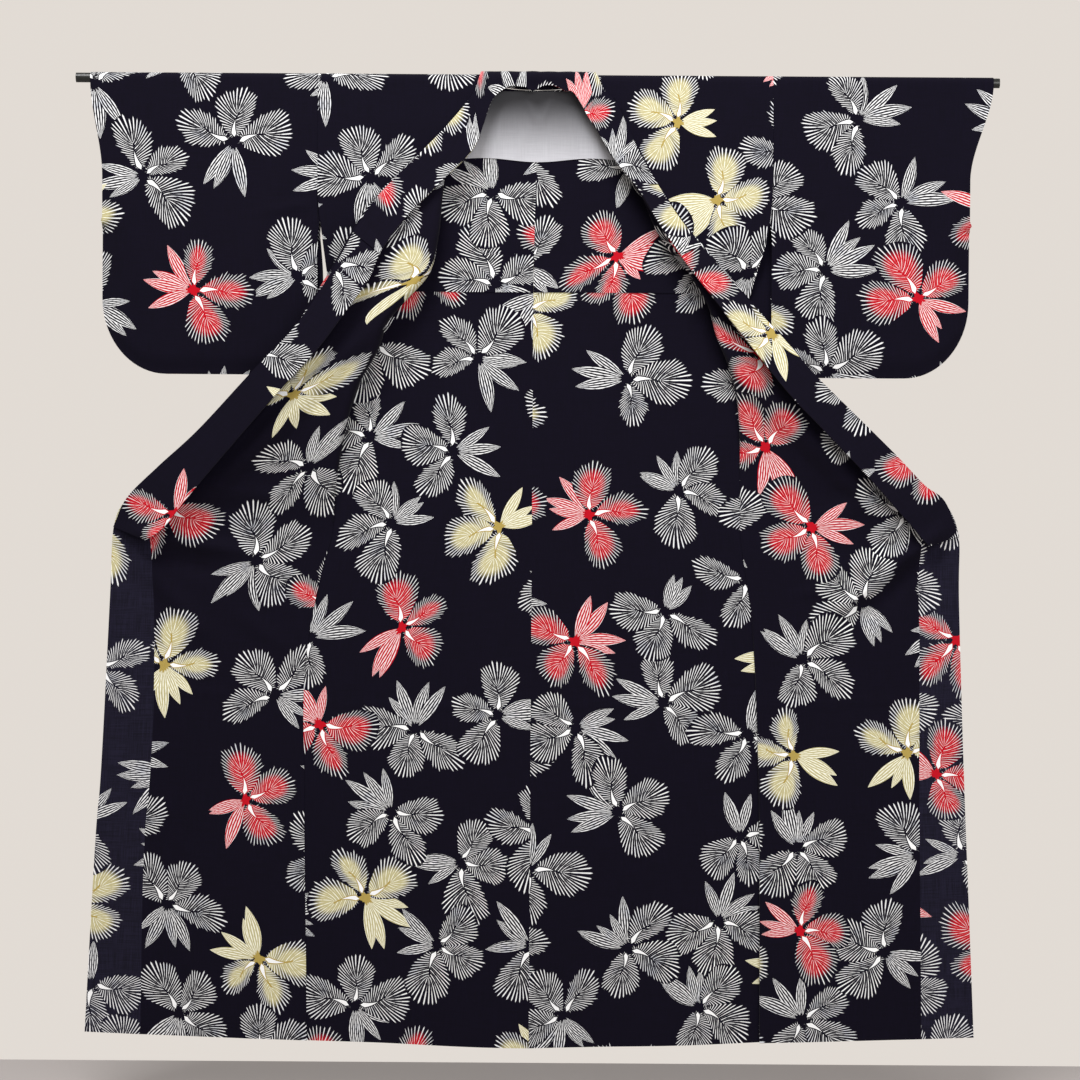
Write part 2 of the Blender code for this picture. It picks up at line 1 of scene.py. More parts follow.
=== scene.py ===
"""Looks of a cotton yukata robe hung open on a straight rod.

Left and right are the viewer's. X runs to the viewer's right, Y away from the viewer and Z up.
The origin is the middle of the rod's axis, and all sizes are in metres.
"""

import logging
import math
from dataclasses import dataclass, field
from enum import IntEnum
from typing import NamedTuple

import bpy
import numpy as np
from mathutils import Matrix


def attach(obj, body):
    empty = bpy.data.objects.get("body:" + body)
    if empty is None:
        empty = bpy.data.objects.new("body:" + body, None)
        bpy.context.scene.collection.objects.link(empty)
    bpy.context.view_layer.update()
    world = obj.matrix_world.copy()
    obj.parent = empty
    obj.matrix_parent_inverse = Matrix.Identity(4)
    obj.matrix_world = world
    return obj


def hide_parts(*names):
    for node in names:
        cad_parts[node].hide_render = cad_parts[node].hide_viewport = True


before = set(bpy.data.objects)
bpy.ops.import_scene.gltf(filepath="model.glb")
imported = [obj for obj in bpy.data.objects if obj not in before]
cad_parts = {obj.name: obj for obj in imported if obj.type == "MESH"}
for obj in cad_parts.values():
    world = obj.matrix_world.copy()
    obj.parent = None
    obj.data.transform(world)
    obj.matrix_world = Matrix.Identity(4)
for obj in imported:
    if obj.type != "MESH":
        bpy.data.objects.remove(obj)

log = logging.getLogger("yukata")

Colour = tuple[float, float, float, float]


class Side(IntEnum):
    """A side of the robe, as the sign of X there."""

    LEFT = -1
    RIGHT = 1

    @property
    def word(self) -> str:
        """The side's name in lower case."""
        return self.name.lower()


class Dye(IntEnum):
    """The colour that fills a blossom between its strokes."""

    NAVY = 0
    RED = 1
    CREAM = 2


class PetalCut(IntEnum):
    """The outline of a petal."""

    ROUND = 0
    OVAL = 1
    BLADE = 2


class Panel(IntEnum):
    """A panel of cloth that carries listed creases."""

    BACK = 0
    FRONT = 1
    SLEEVE = 2
    LINING = 3


class CollarStation(NamedTuple):
    """Where the collar's seam and free edge pass, outwards from the centre."""

    seam_out: float
    seam_reach: float
    seam_forward: float
    edge_out: float = 0.0
    edge_reach: float = 0.0
    edge_forward: float = 0.0


class FrontRow(NamedTuple):
    """A level of a front panel: its side edge, inner fold and the depths of both layers."""

    drop: float
    side_out: float
    side_y: float
    tip_out: float
    under_y: float
    over_y: float

    @classmethod
    def open(cls, drop: float, side_out: float) -> "FrontRow":
        """A level below the folded part, where the panel lies flat."""
        return cls(drop, side_out, OPEN_DEPTH, side_out, OPEN_DEPTH, OPEN_DEPTH)


class OkumiRow(NamedTuple):
    """The width of the overlap strip at a level."""

    drop: float
    width: float


class Crease(NamedTuple):
    """A soft ridge (height above 0) or trough (below 0) from one point to another."""

    start: tuple[float, float]
    end: tuple[float, float]
    height: float
    width: float


class NeckLump(NamedTuple):
    """A place where the collar's edge sags or lifts, along the collar from its middle."""

    place: float
    width: float
    drop: float


class Petal(NamedTuple):
    """A printed petal, from its blossom's heart outwards, on the flat cloth."""

    across: float
    along: float
    angle: float
    length: float
    cut: PetalCut
    dye: Dye
    seed: int


# A seam allowance turns back over its first part, lies behind its neighbour and fades out
SEAM_TURN = 0.0006
SEAM_DEPTH = 0.0014
SEAM_WIDTH = 0.004
SEAM_LEAST = 0.0002
# How far an open front lies behind the rod's plane
OPEN_DEPTH = 0.0069
COLLARS = {
    Side.LEFT: (
        CollarStation(0.002, -0.0287, 0.000, 0.002, 0.0277, 0.000),
        CollarStation(0.045, -0.0260, 0.000, 0.040, 0.0290, 0.001),
        CollarStation(0.072, -0.0160, 0.000, 0.058, 0.0360, 0.002),
        CollarStation(0.087, 0.0000, 0.000, 0.072, 0.0520, 0.004),
        CollarStation(0.100, 0.0377, 0.001, 0.084, 0.0877, 0.007),
        CollarStation(0.137, 0.0857, 0.005, 0.100, 0.1277, 0.012),
        CollarStation(0.188, 0.1407, 0.013, 0.148, 0.1787, 0.020),
        CollarStation(0.245, 0.2017, 0.024, 0.206, 0.2407, 0.032),
        CollarStation(0.281, 0.2567, 0.033, 0.240, 0.2907, 0.042),
        CollarStation(0.303, 0.2987, 0.038, 0.258, 0.3337, 0.048),
        CollarStation(0.339, 0.3607, 0.044, 0.291, 0.3817, 0.056),
        CollarStation(0.376, 0.4127, 0.046, 0.334, 0.4407, 0.058),
        CollarStation(0.437, 0.4767, 0.045, 0.392, 0.5047, 0.057),
        CollarStation(0.519, 0.5657, 0.040, 0.476, 0.6017, 0.052),
        CollarStation(0.582, 0.6237, 0.036, 0.531, 0.6667, 0.048),
        CollarStation(0.630, 0.6717, 0.032, 0.573, 0.7187, 0.042),
        CollarStation(0.651, 0.7167, 0.028, 0.599, 0.7367, 0.036),
    ),
    Side.RIGHT: (
        CollarStation(0.002, -0.0287, 0.000, 0.002, 0.0277, 0.000),
        CollarStation(0.041, -0.0260, 0.000, 0.036, 0.0290, 0.001),
        CollarStation(0.070, -0.0160, 0.000, 0.052, 0.0360, 0.002),
        CollarStation(0.087, 0.0000, 0.000, 0.066, 0.0520, 0.004),
        CollarStation(0.104, 0.0337, 0.001, 0.079, 0.0767, 0.007),
        CollarStation(0.123, 0.0537, 0.002, 0.092, 0.0957, 0.010),
        CollarStation(0.151, 0.1157, 0.005, 0.118, 0.1417, 0.018),
        CollarStation(0.184, 0.1767, 0.009, 0.156, 0.1907, 0.026),
        CollarStation(0.225, 0.2397, 0.015, 0.194, 0.2537, 0.034),
        CollarStation(0.265, 0.2877, 0.021, 0.232, 0.3067, 0.041),
        CollarStation(0.312, 0.3427, 0.028, 0.272, 0.3587, 0.048),
        CollarStation(0.334, 0.3687, 0.032, 0.296, 0.3897, 0.050),
        CollarStation(0.382, 0.4207, 0.038, 0.340, 0.4447, 0.052),
        CollarStation(0.429, 0.4747, 0.041, 0.388, 0.5047, 0.053),
        CollarStation(0.485, 0.5297, 0.041, 0.444, 0.5627, 0.052),
        CollarStation(0.554, 0.5967, 0.038, 0.512, 0.6327, 0.049),
        CollarStation(0.601, 0.6447, 0.034, 0.556, 0.6817, 0.046),
        CollarStation(0.632, 0.6687, 0.032, 0.580, 0.7077, 0.043),
        CollarStation(0.655, 0.7227, 0.028, 0.606, 0.7387, 0.036),
    ),
}
# Below the collar's ends the front edges run on to the hem
EDGES = {
    Side.LEFT: (
        CollarStation(0.657, 0.8257, 0.022),
        CollarStation(0.671, 1.1067, 0.014),
        CollarStation(0.679, 1.2157, 0.012),
        CollarStation(0.695, 1.5282, 0.006),
    ),
    Side.RIGHT: (
        CollarStation(0.657, 0.8257, 0.023),
        CollarStation(0.668, 1.1067, 0.015),
        CollarStation(0.676, 1.2857, 0.011),
        CollarStation(0.687, 1.5282, 0.006),
    ),
}
FRONTS = {
    Side.LEFT: (
        FrontRow(0.000, 0.342, -0.0083, 0.091, -0.0083, -0.0083),
        FrontRow(0.030, 0.342, -0.0090, 0.106, -0.0092, -0.0096),
        FrontRow(0.070, 0.342, -0.0095, 0.126, -0.0110, -0.0130),
        FrontRow(0.125, 0.342, -0.0100, 0.140, -0.0100, -0.0190),
        FrontRow(0.186, 0.341, -0.0105, 0.147, -0.0110, -0.0250),
        FrontRow(0.249, 0.334, -0.0100, 0.153, -0.0110, -0.0310),
        FrontRow(0.310, 0.326, -0.0030, 0.170, -0.0090, -0.0340),
        FrontRow(0.350, 0.322, 0.0040, 0.206, -0.0070, -0.0350),
        FrontRow(0.380, 0.320, 0.0069, 0.230, -0.0060, -0.0350),
        FrontRow(0.420, 0.318, 0.0069, 0.244, -0.0050, -0.0340),
        FrontRow(0.475, 0.316, 0.0069, 0.274, -0.0040, -0.0310),
        FrontRow(0.545, 0.315, 0.0069, 0.295, -0.0010, -0.0240),
        FrontRow(0.600, 0.315, 0.0069, 0.306, 0.0030, -0.0140),
        FrontRow(0.650, 0.315, 0.0069, 0.313, 0.0060, -0.0020),
        FrontRow.open(0.701, 0.316),
        FrontRow.open(0.773, 0.334),
        FrontRow.open(0.888, 0.355),
        FrontRow.open(1.123, 0.358),
        FrontRow.open(1.372, 0.354),
        FrontRow.open(1.5125, 0.352),
    ),
    Side.RIGHT: (
        FrontRow(0.000, 0.367, -0.0083, 0.090, -0.0083, -0.0083),
        FrontRow(0.030, 0.367, -0.0090, 0.114, -0.0092, -0.0098),
        FrontRow(0.070, 0.367, -0.0095, 0.130, -0.0108, -0.0115),
        FrontRow(0.125, 0.367, -0.0100, 0.142, -0.0100, -0.0125),
        FrontRow(0.186, 0.366, -0.0105, 0.165, -0.0105, -0.0155),
        FrontRow(0.249, 0.358, -0.0100, 0.194, -0.0105, -0.0190),
        FrontRow(0.310, 0.340, -0.0030, 0.243, -0.0090, -0.0240),
        FrontRow(0.350, 0.330, 0.0040, 0.266, -0.0070, -0.0280),
        FrontRow(0.400, 0.322, 0.0069, 0.280, -0.0050, -0.0300),
        FrontRow(0.453, 0.320, 0.0069, 0.302, -0.0020, -0.0240),
        FrontRow(0.500, 0.320, 0.0069, 0.314, 0.0030, -0.0120),
        FrontRow(0.560, 0.320, 0.0069, 0.319, 0.0060, -0.0010),
        FrontRow.open(0.620, 0.320),
        FrontRow.open(0.700, 0.321),
        FrontRow.open(0.826, 0.338),
        FrontRow.open(1.013, 0.350),
        FrontRow.open(1.170, 0.354),
        FrontRow.open(1.5125, 0.357),
    ),
}
OKUMIS = {
    Side.LEFT: (
        OkumiRow(0.360, 0.000),
        OkumiRow(0.400, 0.007),
        OkumiRow(0.550, 0.030),
        OkumiRow(0.701, 0.056),
        OkumiRow(0.800, 0.066),
        OkumiRow(0.970, 0.075),
        OkumiRow(1.200, 0.076),
        OkumiRow(1.5125, 0.086),
    ),
    Side.RIGHT: (
        OkumiRow(0.360, 0.000),
        OkumiRow(0.400, 0.007),
        OkumiRow(0.550, 0.030),
        OkumiRow(0.707, 0.058),
        OkumiRow(0.870, 0.062),
        OkumiRow(1.100, 0.069),
        OkumiRow(1.5125, 0.081),
    ),
}
NECK_LUMPS = (
    NeckLump(-0.047, 0.022, -0.0022),
    NeckLump(-0.008, 0.016, 0.0060),
    NeckLump(0.020, 0.020, -0.0028),
    NeckLump(0.052, 0.016, 0.0036),
    NeckLump(0.078, 0.014, -0.0024),
)
# Each side's front and back are one loom width, from the back hem over the shoulder
LOOM_EXTENT = ((0.0, -1.66), (0.36, 1.54))
LOOM_SEEDS = {Side.LEFT: 20, Side.RIGHT: 40}
COLLAR_SEED = 61
OVER_COLLAR_SEED = 62
# Creases thin out towards their ends
CREASE_ENDS = (0.02, 0.98)
CREASE_TAPER = 0.6
CREASES = {
    Panel.BACK: (
        Crease((-0.005, -0.14), (-0.010, -1.51), 0.0012, 0.004),
        Crease((-0.273, -0.48), (-0.265, -1.50), 0.0016, 0.005),
        Crease((0.258, -0.50), (0.264, -1.50), 0.0016, 0.005),
        Crease((-0.33, -0.975), (-0.01, -0.980), 0.0014, 0.005),
        Crease((0.01, -0.972), (0.33, -0.985), 0.0014, 0.005),
        Crease((0.05, -0.40), (0.13, -0.78), 0.0030, 0.030),
        Crease((-0.08, -0.42), (-0.17, -0.86), 0.0028, 0.034),
        Crease((0.10, -1.05), (0.07, -1.52), 0.0040, 0.030),
        Crease((-0.14, -1.02), (-0.16, -1.52), 0.0036, 0.034),
    ),
    Panel.FRONT: (
        Crease((0.640, -0.688), (0.445, -0.845), 0.0120, 0.013),
        Crease((0.600, -0.748), (0.480, -0.870), -0.0050, 0.016),
        Crease((0.600, -0.725), (0.455, -0.768), 0.0045, 0.009),
        Crease((0.560, -0.640), (0.430, -0.690), 0.0040, 0.016),
        Crease((0.470, -0.790), (0.400, -0.800), 0.0028, 0.007),
        Crease((0.645, -0.740), (0.610, -1.050), 0.0040, 0.022),
        Crease((0.502, -0.900), (0.512, -1.490), 0.0016, 0.005),
        Crease((0.345, -0.975), (0.660, -0.955), 0.0014, 0.005),
        Crease((0.420, -1.050), (0.430, -1.500), 0.0045, 0.035),
        Crease((0.570, -1.120), (0.600, -1.500), 0.0040, 0.026),
        Crease((-0.640, -0.705), (-0.430, -0.742), 0.0090, 0.012),
        Crease((-0.610, -0.742), (-0.470, -0.775), -0.0045, 0.013),
        Crease((-0.640, -0.720), (-0.500, -0.880), 0.0060, 0.016),
        Crease((-0.540, -0.640), (-0.370, -0.655), 0.0040, 0.014),
        Crease((-0.470, -0.830), (-0.370, -0.900), 0.0030, 0.014),
        Crease((-0.645, -0.760), (-0.620, -1.030), 0.0038, 0.020),
        Crease((-0.530, -0.900), (-0.537, -1.490), 0.0016, 0.005),
        Crease((-0.660, -0.950), (-0.345, -0.965), 0.0014, 0.005),
        Crease((-0.430, -1.030), (-0.450, -1.500), 0.0048, 0.035),
        Crease((-0.590, -1.140), (-0.620, -1.500), 0.0040, 0.026),
    ),
    Panel.SLEEVE: (
        Crease((-0.365, -0.040), (-0.470, -0.400), 0.0035, 0.026),
        Crease((-0.350, -0.195), (-0.430, -0.210), 0.0025, 0.008),
        Crease((-0.515, -0.020), (-0.520, -0.450), 0.0014, 0.005),
        Crease((-0.690, -0.030), (-0.610, -0.360), 0.0032, 0.024),
        Crease((0.385, -0.040), (0.470, -0.410), 0.0035, 0.026),
        Crease((0.375, -0.215), (0.450, -0.200), 0.0025, 0.008),
        Crease((0.530, -0.020), (0.534, -0.450), 0.0014, 0.005),
        Crease((0.700, -0.030), (0.620, -0.370), 0.0032, 0.024),
    ),
    Panel.LINING: (
        Crease((-0.020, -0.020), (0.002, -0.070), 0.0026, 0.007),
        Crease((0.022, -0.020), (0.006, -0.068), 0.0022, 0.006),
        Crease((-0.052, -0.030), (-0.066, -0.120), 0.0020, 0.008),
        Crease((0.046, -0.032), (0.060, -0.120), 0.0018, 0.008),
        Crease((-0.020, -0.075), (-0.030, -0.122), 0.0016, 0.007),
        Crease((0.090, -0.060), (0.100, -0.122), 0.0016, 0.007),
    ),
}


@dataclass(frozen=True)
class RobeSizes:
    """Sizes of the rod, the cloth and the cut."""

    rod_radius: float = 0.0075
    cloth: float = 0.001
    collar_cloth: float = 0.0024
    seam_gap: float = 0.0003
    collar_ease: float = 0.0004
    quarter: float = 0.0157
    hem_drop: float = 1.5125
    hem_rise: float = 0.0265
    hem_rise_power: float = 1.3
    hem_half_width: float = 0.69
    hem_rise_from: float = 0.8
    neck_half_width: float = 0.087
    neck_cut: float = 0.0016
    centre_shift: float = -0.005
    centre_shift_drop: float = 0.35
    back_wave: float = 0.004
    back_wave_length: float = 0.31
    back_wave_from: float = 0.5
    valley_depth: float = 0.008
    valley_place: float = 0.045
    valley_width: float = 0.030
    ridge_height: float = 0.007
    ridge_place: float = 0.115
    ridge_width: float = 0.035
    valley_start: tuple[float, float] = (0.33, 0.43)
    valley_end: tuple[float, float] = (0.58, 0.78)
    fold_radius: float = 0.012
    tuck_edge_drop: float = 0.330
    tuck_depth: float = 0.060
    tuck_half_width: float = 0.285
    lining_top_drop: float = 0.016
    lining_bottom_drop: float = 0.1235
    lining_wave: float = 0.003
    lining_wave_length: float = 0.17
    lining_left: float = -0.150
    lining_right: float = 0.160
    sleeve_drop: float = 0.4615
    sleeve_corner_width: float = 0.100
    sleeve_corner_height: float = 0.119
    sleeve_sewn_from: float = 0.230
    sleeve_loose: tuple[float, float] = (0.21, 0.25)
    side_sewn: tuple[float, float] = (0.36, 0.44)
    sleeve_pinch: float = 0.030
    sleeve_lower_depth: float = 0.0055
    cuff_flare_drop: float = 0.155
    sleeve_lean: tuple[float, float] = (0.008, 0.034)
    sleeve_lean_top: float = 0.195
    sleeve_lean_bottom: float = 0.315
    cuff_top: tuple[float, float] = (0.697, 0.710)
    cuff_out: tuple[float, float] = (0.677, 0.674)
    over_collar_half: float = 0.426
    lump_puff: float = 0.9
    okumi_top_drop: float = 0.400
    loom_width: float = 0.343
    spacing: float = 0.0065
    curve_samples: int = 900
    section_samples: int = 48
    front_columns: int = 82
    okumi_columns: int = 15
    neck_columns: int = 19
    neck_crowding: float = 0.85
    shoulder_columns: int = 42
    tuck_columns: int = 46
    tuck_rows: int = 11
    lining_columns: int = 96
    lining_rows: int = 34
    sleeve_columns: int = 36
    corner_columns: int = 19
    rod_rows: int = 4
    collar_columns: int = 17

    @property
    def body_bend(self) -> float:
        """Radius of the cloth's middle surface where it bends over the rod."""
        return self.rod_radius + self.seam_gap + self.cloth / 2

    @property
    def collar_bend(self) -> float:
        """Radius of the collar's middle surface where it bends over the rod."""
        gap = self.seam_gap + self.collar_ease
        return self.body_bend + self.cloth / 2 + gap + self.collar_cloth / 2

    @property
    def layer_step(self) -> float:
        """How far apart two cloths lie, from middle to middle."""
        return self.cloth + self.seam_gap

    @property
    def collar_step(self) -> float:
        """How far the over-collar lies from the collar, from middle to middle."""
        return self.collar_cloth / 2 + self.seam_gap + self.collar_ease + self.cloth / 2


def ease(value: np.ndarray | float, low: float, high: float) -> np.ndarray:
    """A smooth step from 0 at low to 1 at high."""
    share = np.clip((value - low) / (high - low), 0, 1)
    return share * share * (3 - 2 * share)


def bump(distance: np.ndarray, place: float, width: float) -> np.ndarray:
    """A smooth hump of height 1 at a place, gone beyond its width."""
    share = np.clip(np.abs(distance - place) / width, 0, 1)
    return (1 - share * share) ** 2


def smooth_table(rows: list[tuple[float, ...]], samples: np.ndarray) -> np.ndarray:
    """Points on a smooth curve through the rows.

    Args:
        rows: The curve's points, placed by their first two columns.
        samples: Fractions from 0 to 1 of the curve's length.

    Returns:
        One row of all the columns for each sample.
    """
    points = np.array(rows, float)
    ends = np.vstack([2 * points[0] - points[1], points, 2 * points[-1] - points[-2]])
    steps = np.linspace(0, 1, 24, endpoint=False)[:, None]
    parts = []
    for before, start, stop, after in zip(ends, ends[1:], ends[2:], ends[3:]):
        bend = 2 * before - 5 * start + 4 * stop - after
        twist = 3 * start - before - 3 * stop + after
        parts.append(start + 0.5 * steps * (stop - before + steps * (bend + steps * twist)))
    curve = np.vstack([*parts, points[-1:]])
    lengths = np.linalg.norm(np.diff(curve[:, :2], axis=0), axis=1)
    along = np.concatenate([[0], np.cumsum(lengths)])
    places = np.asarray(samples) * along[-1]
    return np.stack([np.interp(places, along, column) for column in curve.T], axis=1)


def level_table(rows: tuple[NamedTuple, ...], drops: np.ndarray) -> np.ndarray:
    """The rows' other columns, interpolated smoothly at these drops."""
    table = np.array(rows, float)
    drops = np.asarray(drops, float)
    slopes = np.gradient(table[:, 1:], table[:, 0], axis=0)
    index = np.clip(np.searchsorted(table[:, 0], drops, side="right") - 1, 0, len(table) - 2)
    span = table[index + 1, 0] - table[index, 0]
    share = np.clip((drops - table[index, 0]) / span, 0, 1)[:, None]
    span = span[:, None]
    start, stop = table[index, 1:], table[index + 1, 1:]
    rise = share * share * (3 - 2 * share)
    lean = share * (1 - share) ** 2 * span * slopes[index]
    settle = share * share * (share - 1) * span * slopes[index + 1]
    return start + (stop - start) * rise + lean + settle


@dataclass
class Sheet:
    """A sheet of cloth: its points in space and their places on the flat cloth."""

    points: np.ndarray
    flat: np.ndarray

    def flat_area(self) -> float:
        """Area of the flat cloth, in square metres."""
        first = self.flat[1:, 1:] - self.flat[:-1, :-1]
        second = self.flat[1:, :-1] - self.flat[:-1, 1:]
        cross = first[..., 0] * second[..., 1] - first[..., 1] * second[..., 0]
        return float(np.abs(cross).sum() / 2)

    def allowance(self, first: bool, width: np.ndarray | float, inward: int = 1) -> "Sheet":
        """Adds a seam allowance that runs on behind the neighbouring piece.

        Args:
            first: Whether it starts at the first column, and not at the last.
            width: How far it runs on, for each row or for all.
            inward: 1 to lie further back, or -1 to lie towards the rod's plane.

        Returns:
            The sheet with two more columns.
        """
        order = slice(None, None, -1) if first else slice(None)
        grown = []
        for values in (self.points[:, order], self.flat[:, order]):
            run = values[:, -1] - values[:, -2]
            run = run / np.linalg.norm(run, axis=1)[:, None]
            width = np.broadcast_to(np.asarray(width, float), (len(values),))
            near = values[:, -1] + SEAM_TURN * run
            far = values[:, -1] + (SEAM_TURN + width)[:, None] * run
            if values.shape[-1] == 3:
                back = SEAM_DEPTH if inward > 0 else -SEAM_DEPTH * np.sign(near[:, 1])
                back = back * np.clip(width / SEAM_WIDTH, 0, 1)
                near[:, 1] += back
                far[:, 1] += back
            values = np.concatenate([values, near[:, None], far[:, None]], axis=1)
            grown.append(values[:, order])
        return Sheet(*grown)

    def creased(self, panel: Panel) -> "Sheet":
        """Presses the panel's listed creases into the sheet.

        Args:
            panel: The panel whose creases are used.

        Returns:
            The same sheet, moved towards or away from the viewer.
        """
        for crease in CREASES[panel]:
            start = np.array(crease.start)
            run = np.array(crease.end) - start
            offset = self.points[..., [0, 2]] - start
            share = np.clip(offset @ run / (run @ run), 0, 1)
            gap = np.linalg.norm(offset - share[..., None] * run, axis=-1)
            taper = np.sin(math.pi * np.clip(share, *CREASE_ENDS)) ** CREASE_TAPER
            self.points[..., 1] -= crease.height * taper * np.exp(-((gap / crease.width) ** 2))
        return self


class SheetRows:
    """Collects the rows of a sheet."""

    def __init__(self) -> None:
        """Starts with no rows."""
        self.points: list[np.ndarray] = []
        self.flat: list[np.ndarray] = []

    def add(self, *parts: np.ndarray | float) -> None:
        """Adds a row from its x, y and z and its places across and along the flat cloth."""
        row = np.stack(np.broadcast_arrays(*parts), axis=1).astype(float)
        self.points.append(row[:, :3])
        self.flat.append(row[:, 3:])

    def sheet(self) -> Sheet:
        """The sheet of all the rows."""
        return Sheet(np.array(self.points), np.array(self.flat))


class RobeForm:
    """Works out the middle surface of every piece of the robe."""

    def __init__(self, sizes: RobeSizes) -> None:
        """Keeps the sizes and the collar seams."""
        self.sizes = sizes
        self.seams = {side: self.seam_line(side) for side in Side}

    def over_rod(self, reach: np.ndarray, bend: float) -> tuple[np.ndarray, np.ndarray]:
        """Depth and height of a path over the rod.

        Args:
            reach: Length of the path, 0 on top and positive down the front.
            bend: Radius of the bend.

        Returns:
            Depths and heights.
        """
        quarter = self.sizes.quarter
        turn = np.clip(reach / quarter, -1, 1) * math.pi / 2
        fall = np.maximum(np.abs(reach) - quarter, 0)
        return -bend * np.sin(turn), bend * np.cos(turn) - fall

    def hem_lift(self, out: np.ndarray, drop: np.ndarray | float) -> np.ndarray:
        """How much higher the cloth hangs here than at the centre back."""
        s = self.sizes
        rise = s.hem_rise * np.abs(out / s.hem_half_width) ** s.hem_rise_power
        return rise * ease(drop, s.hem_rise_from, s.hem_drop)

    def back_y(self, x: np.ndarray, drop: np.ndarray | float) -> np.ndarray:
        """Depth of the back panels' middle surface."""
        s = self.sizes
        wave = s.back_wave * ease(drop, s.back_wave_from, s.hem_drop)
        return s.body_bend + wave * (1 + np.sin(2 * math.pi * x / s.back_wave_length))

    def seam_line(self, side: Side) -> np.ndarray:
        """The collar seam and the front edge below it, as rows of (reach, out, forward)."""
        curve = smooth_table(COLLARS[side] + EDGES[side], self.shares(self.sizes.curve_samples))
        return curve[:, [1, 0, 2]]

    def seam_at(self, side: Side, reach: float) -> tuple[float, float]:
        """Outward place and forward stand of the collar seam at a reach down the front."""
        line = self.seams[side]
        return tuple(float(np.interp(reach, line[:, 0], line[:, column])) for column in (1, 2))

    def front_section(self, side: Side, drop: float) -> tuple[np.ndarray, np.ndarray]:
        """The front panel's dense section at a level, from its side edge to its collar seam.

        Args:
            side: The side of the robe.
            drop: The level, down from the rod's axis.

        Returns:
            Lengths along the section, and its (out, depth) points.
        """
        s = self.sizes
        side_out, side_y, tip_out, under_y, over_y = level_table(FRONTS[side], [drop])[0]
        seam_out, forward = self.seam_at(side, drop + s.quarter)
        seam_y = -s.body_bend - forward
        if side_y > 0:
            side_y += self.back_y(side * side_out, drop) - s.body_bend
        tuck_in = min(s.fold_radius, abs(under_y - over_y) / 2)
        share = self.shares(s.section_samples)
        turn = math.pi * share
        tip = tip_out + tuck_in * (1 - np.sin(turn))
        middle = (under_y + over_y) / 2
        side_part = [side_out + share * (tip[0] - side_out), side_y + share * (under_y - side_y)]
        tip_part = [tip, middle + (under_y - over_y) / 2 * np.cos(turn)]
        seam_part = [tip[-1] + share * (seam_out - tip[-1]), over_y + share * (seam_y - over_y)]
        curve = np.hstack([side_part, tip_part, seam_part]).T
        lengths = np.linalg.norm(np.diff(curve, axis=0), axis=1)
        along = np.concatenate([[0], np.cumsum(lengths)])
        from_seam = along[-1] - along
        fade = ease(drop, *s.valley_start) * (1 - ease(drop, *s.valley_end))
        valley = s.valley_depth * bump(from_seam, s.valley_place, s.valley_width)
        ridge = s.ridge_height * bump(from_seam, s.ridge_place, s.ridge_width)
        curve[:, 1] += fade * (valley - ridge)
        return along, curve

    def front_row(
        self, side: Side, reach: float, inner: float, width_from: float, shares: np.ndarray
    ) -> tuple[np.ndarray, np.ndarray]:
        """Points of a front panel at a level, between two distances from the collar seam.

        Args:
            side: The side of the robe.
            reach: Length of the path over the rod to this level.
            inner: Distance from the seam where the row ends.
            width_from: Distance from the seam where it starts, or 0 for the side edge.
            shares: Places along the row, from 0 to 1.

        Returns:
            The row's points and its distances from the seam.
        """
        s = self.sizes
        if reach <= s.quarter:
            side_out = FRONTS[side][0].side_out - s.seam_gap / 2
            seam_out = self.seam_at(side, reach)[0] + s.seam_gap / 2
            out = side_out + shares * (seam_out - side_out)
            y, z = self.over_rod(reach, s.body_bend)
            row = np.stack(np.broadcast_arrays(side * out, y, z), axis=1)
            return row, side_out - out
        drop = reach - s.quarter
        along, curve = self.front_section(side, drop)
        start = along[-1] - width_from if width_from else 0.0
        places = start + shares * (along[-1] - inner - start)
        out = np.interp(places, along, curve[:, 0])
        y = np.interp(places, along, curve[:, 1])
        z = -drop + self.hem_lift(out, drop)
        return np.stack([side * out, y, z], axis=1), places

    def okumi_width(self, side: Side, drop: float) -> float:
        """Width of the overlap strip at a level."""
        return max(0.0, float(level_table(OKUMIS[side], [drop])[0, 0]))

    def shares(self, count: int) -> np.ndarray:
        """Even steps from 0 to 1."""
        return np.linspace(0, 1, count)

    def reaches(self, start: float, stop: float) -> np.ndarray:
        """Even steps along a path of cloth."""
        return np.linspace(start, stop, int(round((stop - start) / self.sizes.spacing)) + 1)

    def front(self, side: Side) -> Sheet:
        """A front panel, up to its overlap strip."""
        s = self.sizes
        shares = self.shares(s.front_columns)
        rows = SheetRows()
        for reach in self.reaches(0.0, s.quarter + s.hem_drop):
            width = self.okumi_width(side, max(reach - s.quarter, 0.0))
            row, places = self.front_row(side, reach, width + s.seam_gap, 0.0, shares)
            rows.add(*row.T, s.loom_width - places, reach)
        return rows.sheet().allowance(False, SEAM_WIDTH)

    def okumi(self, side: Side) -> Sheet:
        """An overlap strip."""
        s = self.sizes
        shares = self.shares(s.okumi_columns)
        rows = SheetRows()
        for drop in self.reaches(s.okumi_top_drop, s.hem_drop):
            width = self.okumi_width(side, drop)
            row = self.front_row(side, drop + s.quarter, 0.0, width, shares)[0]
            rows.add(*row.T, width * (1 - shares), drop)
        return rows.sheet()

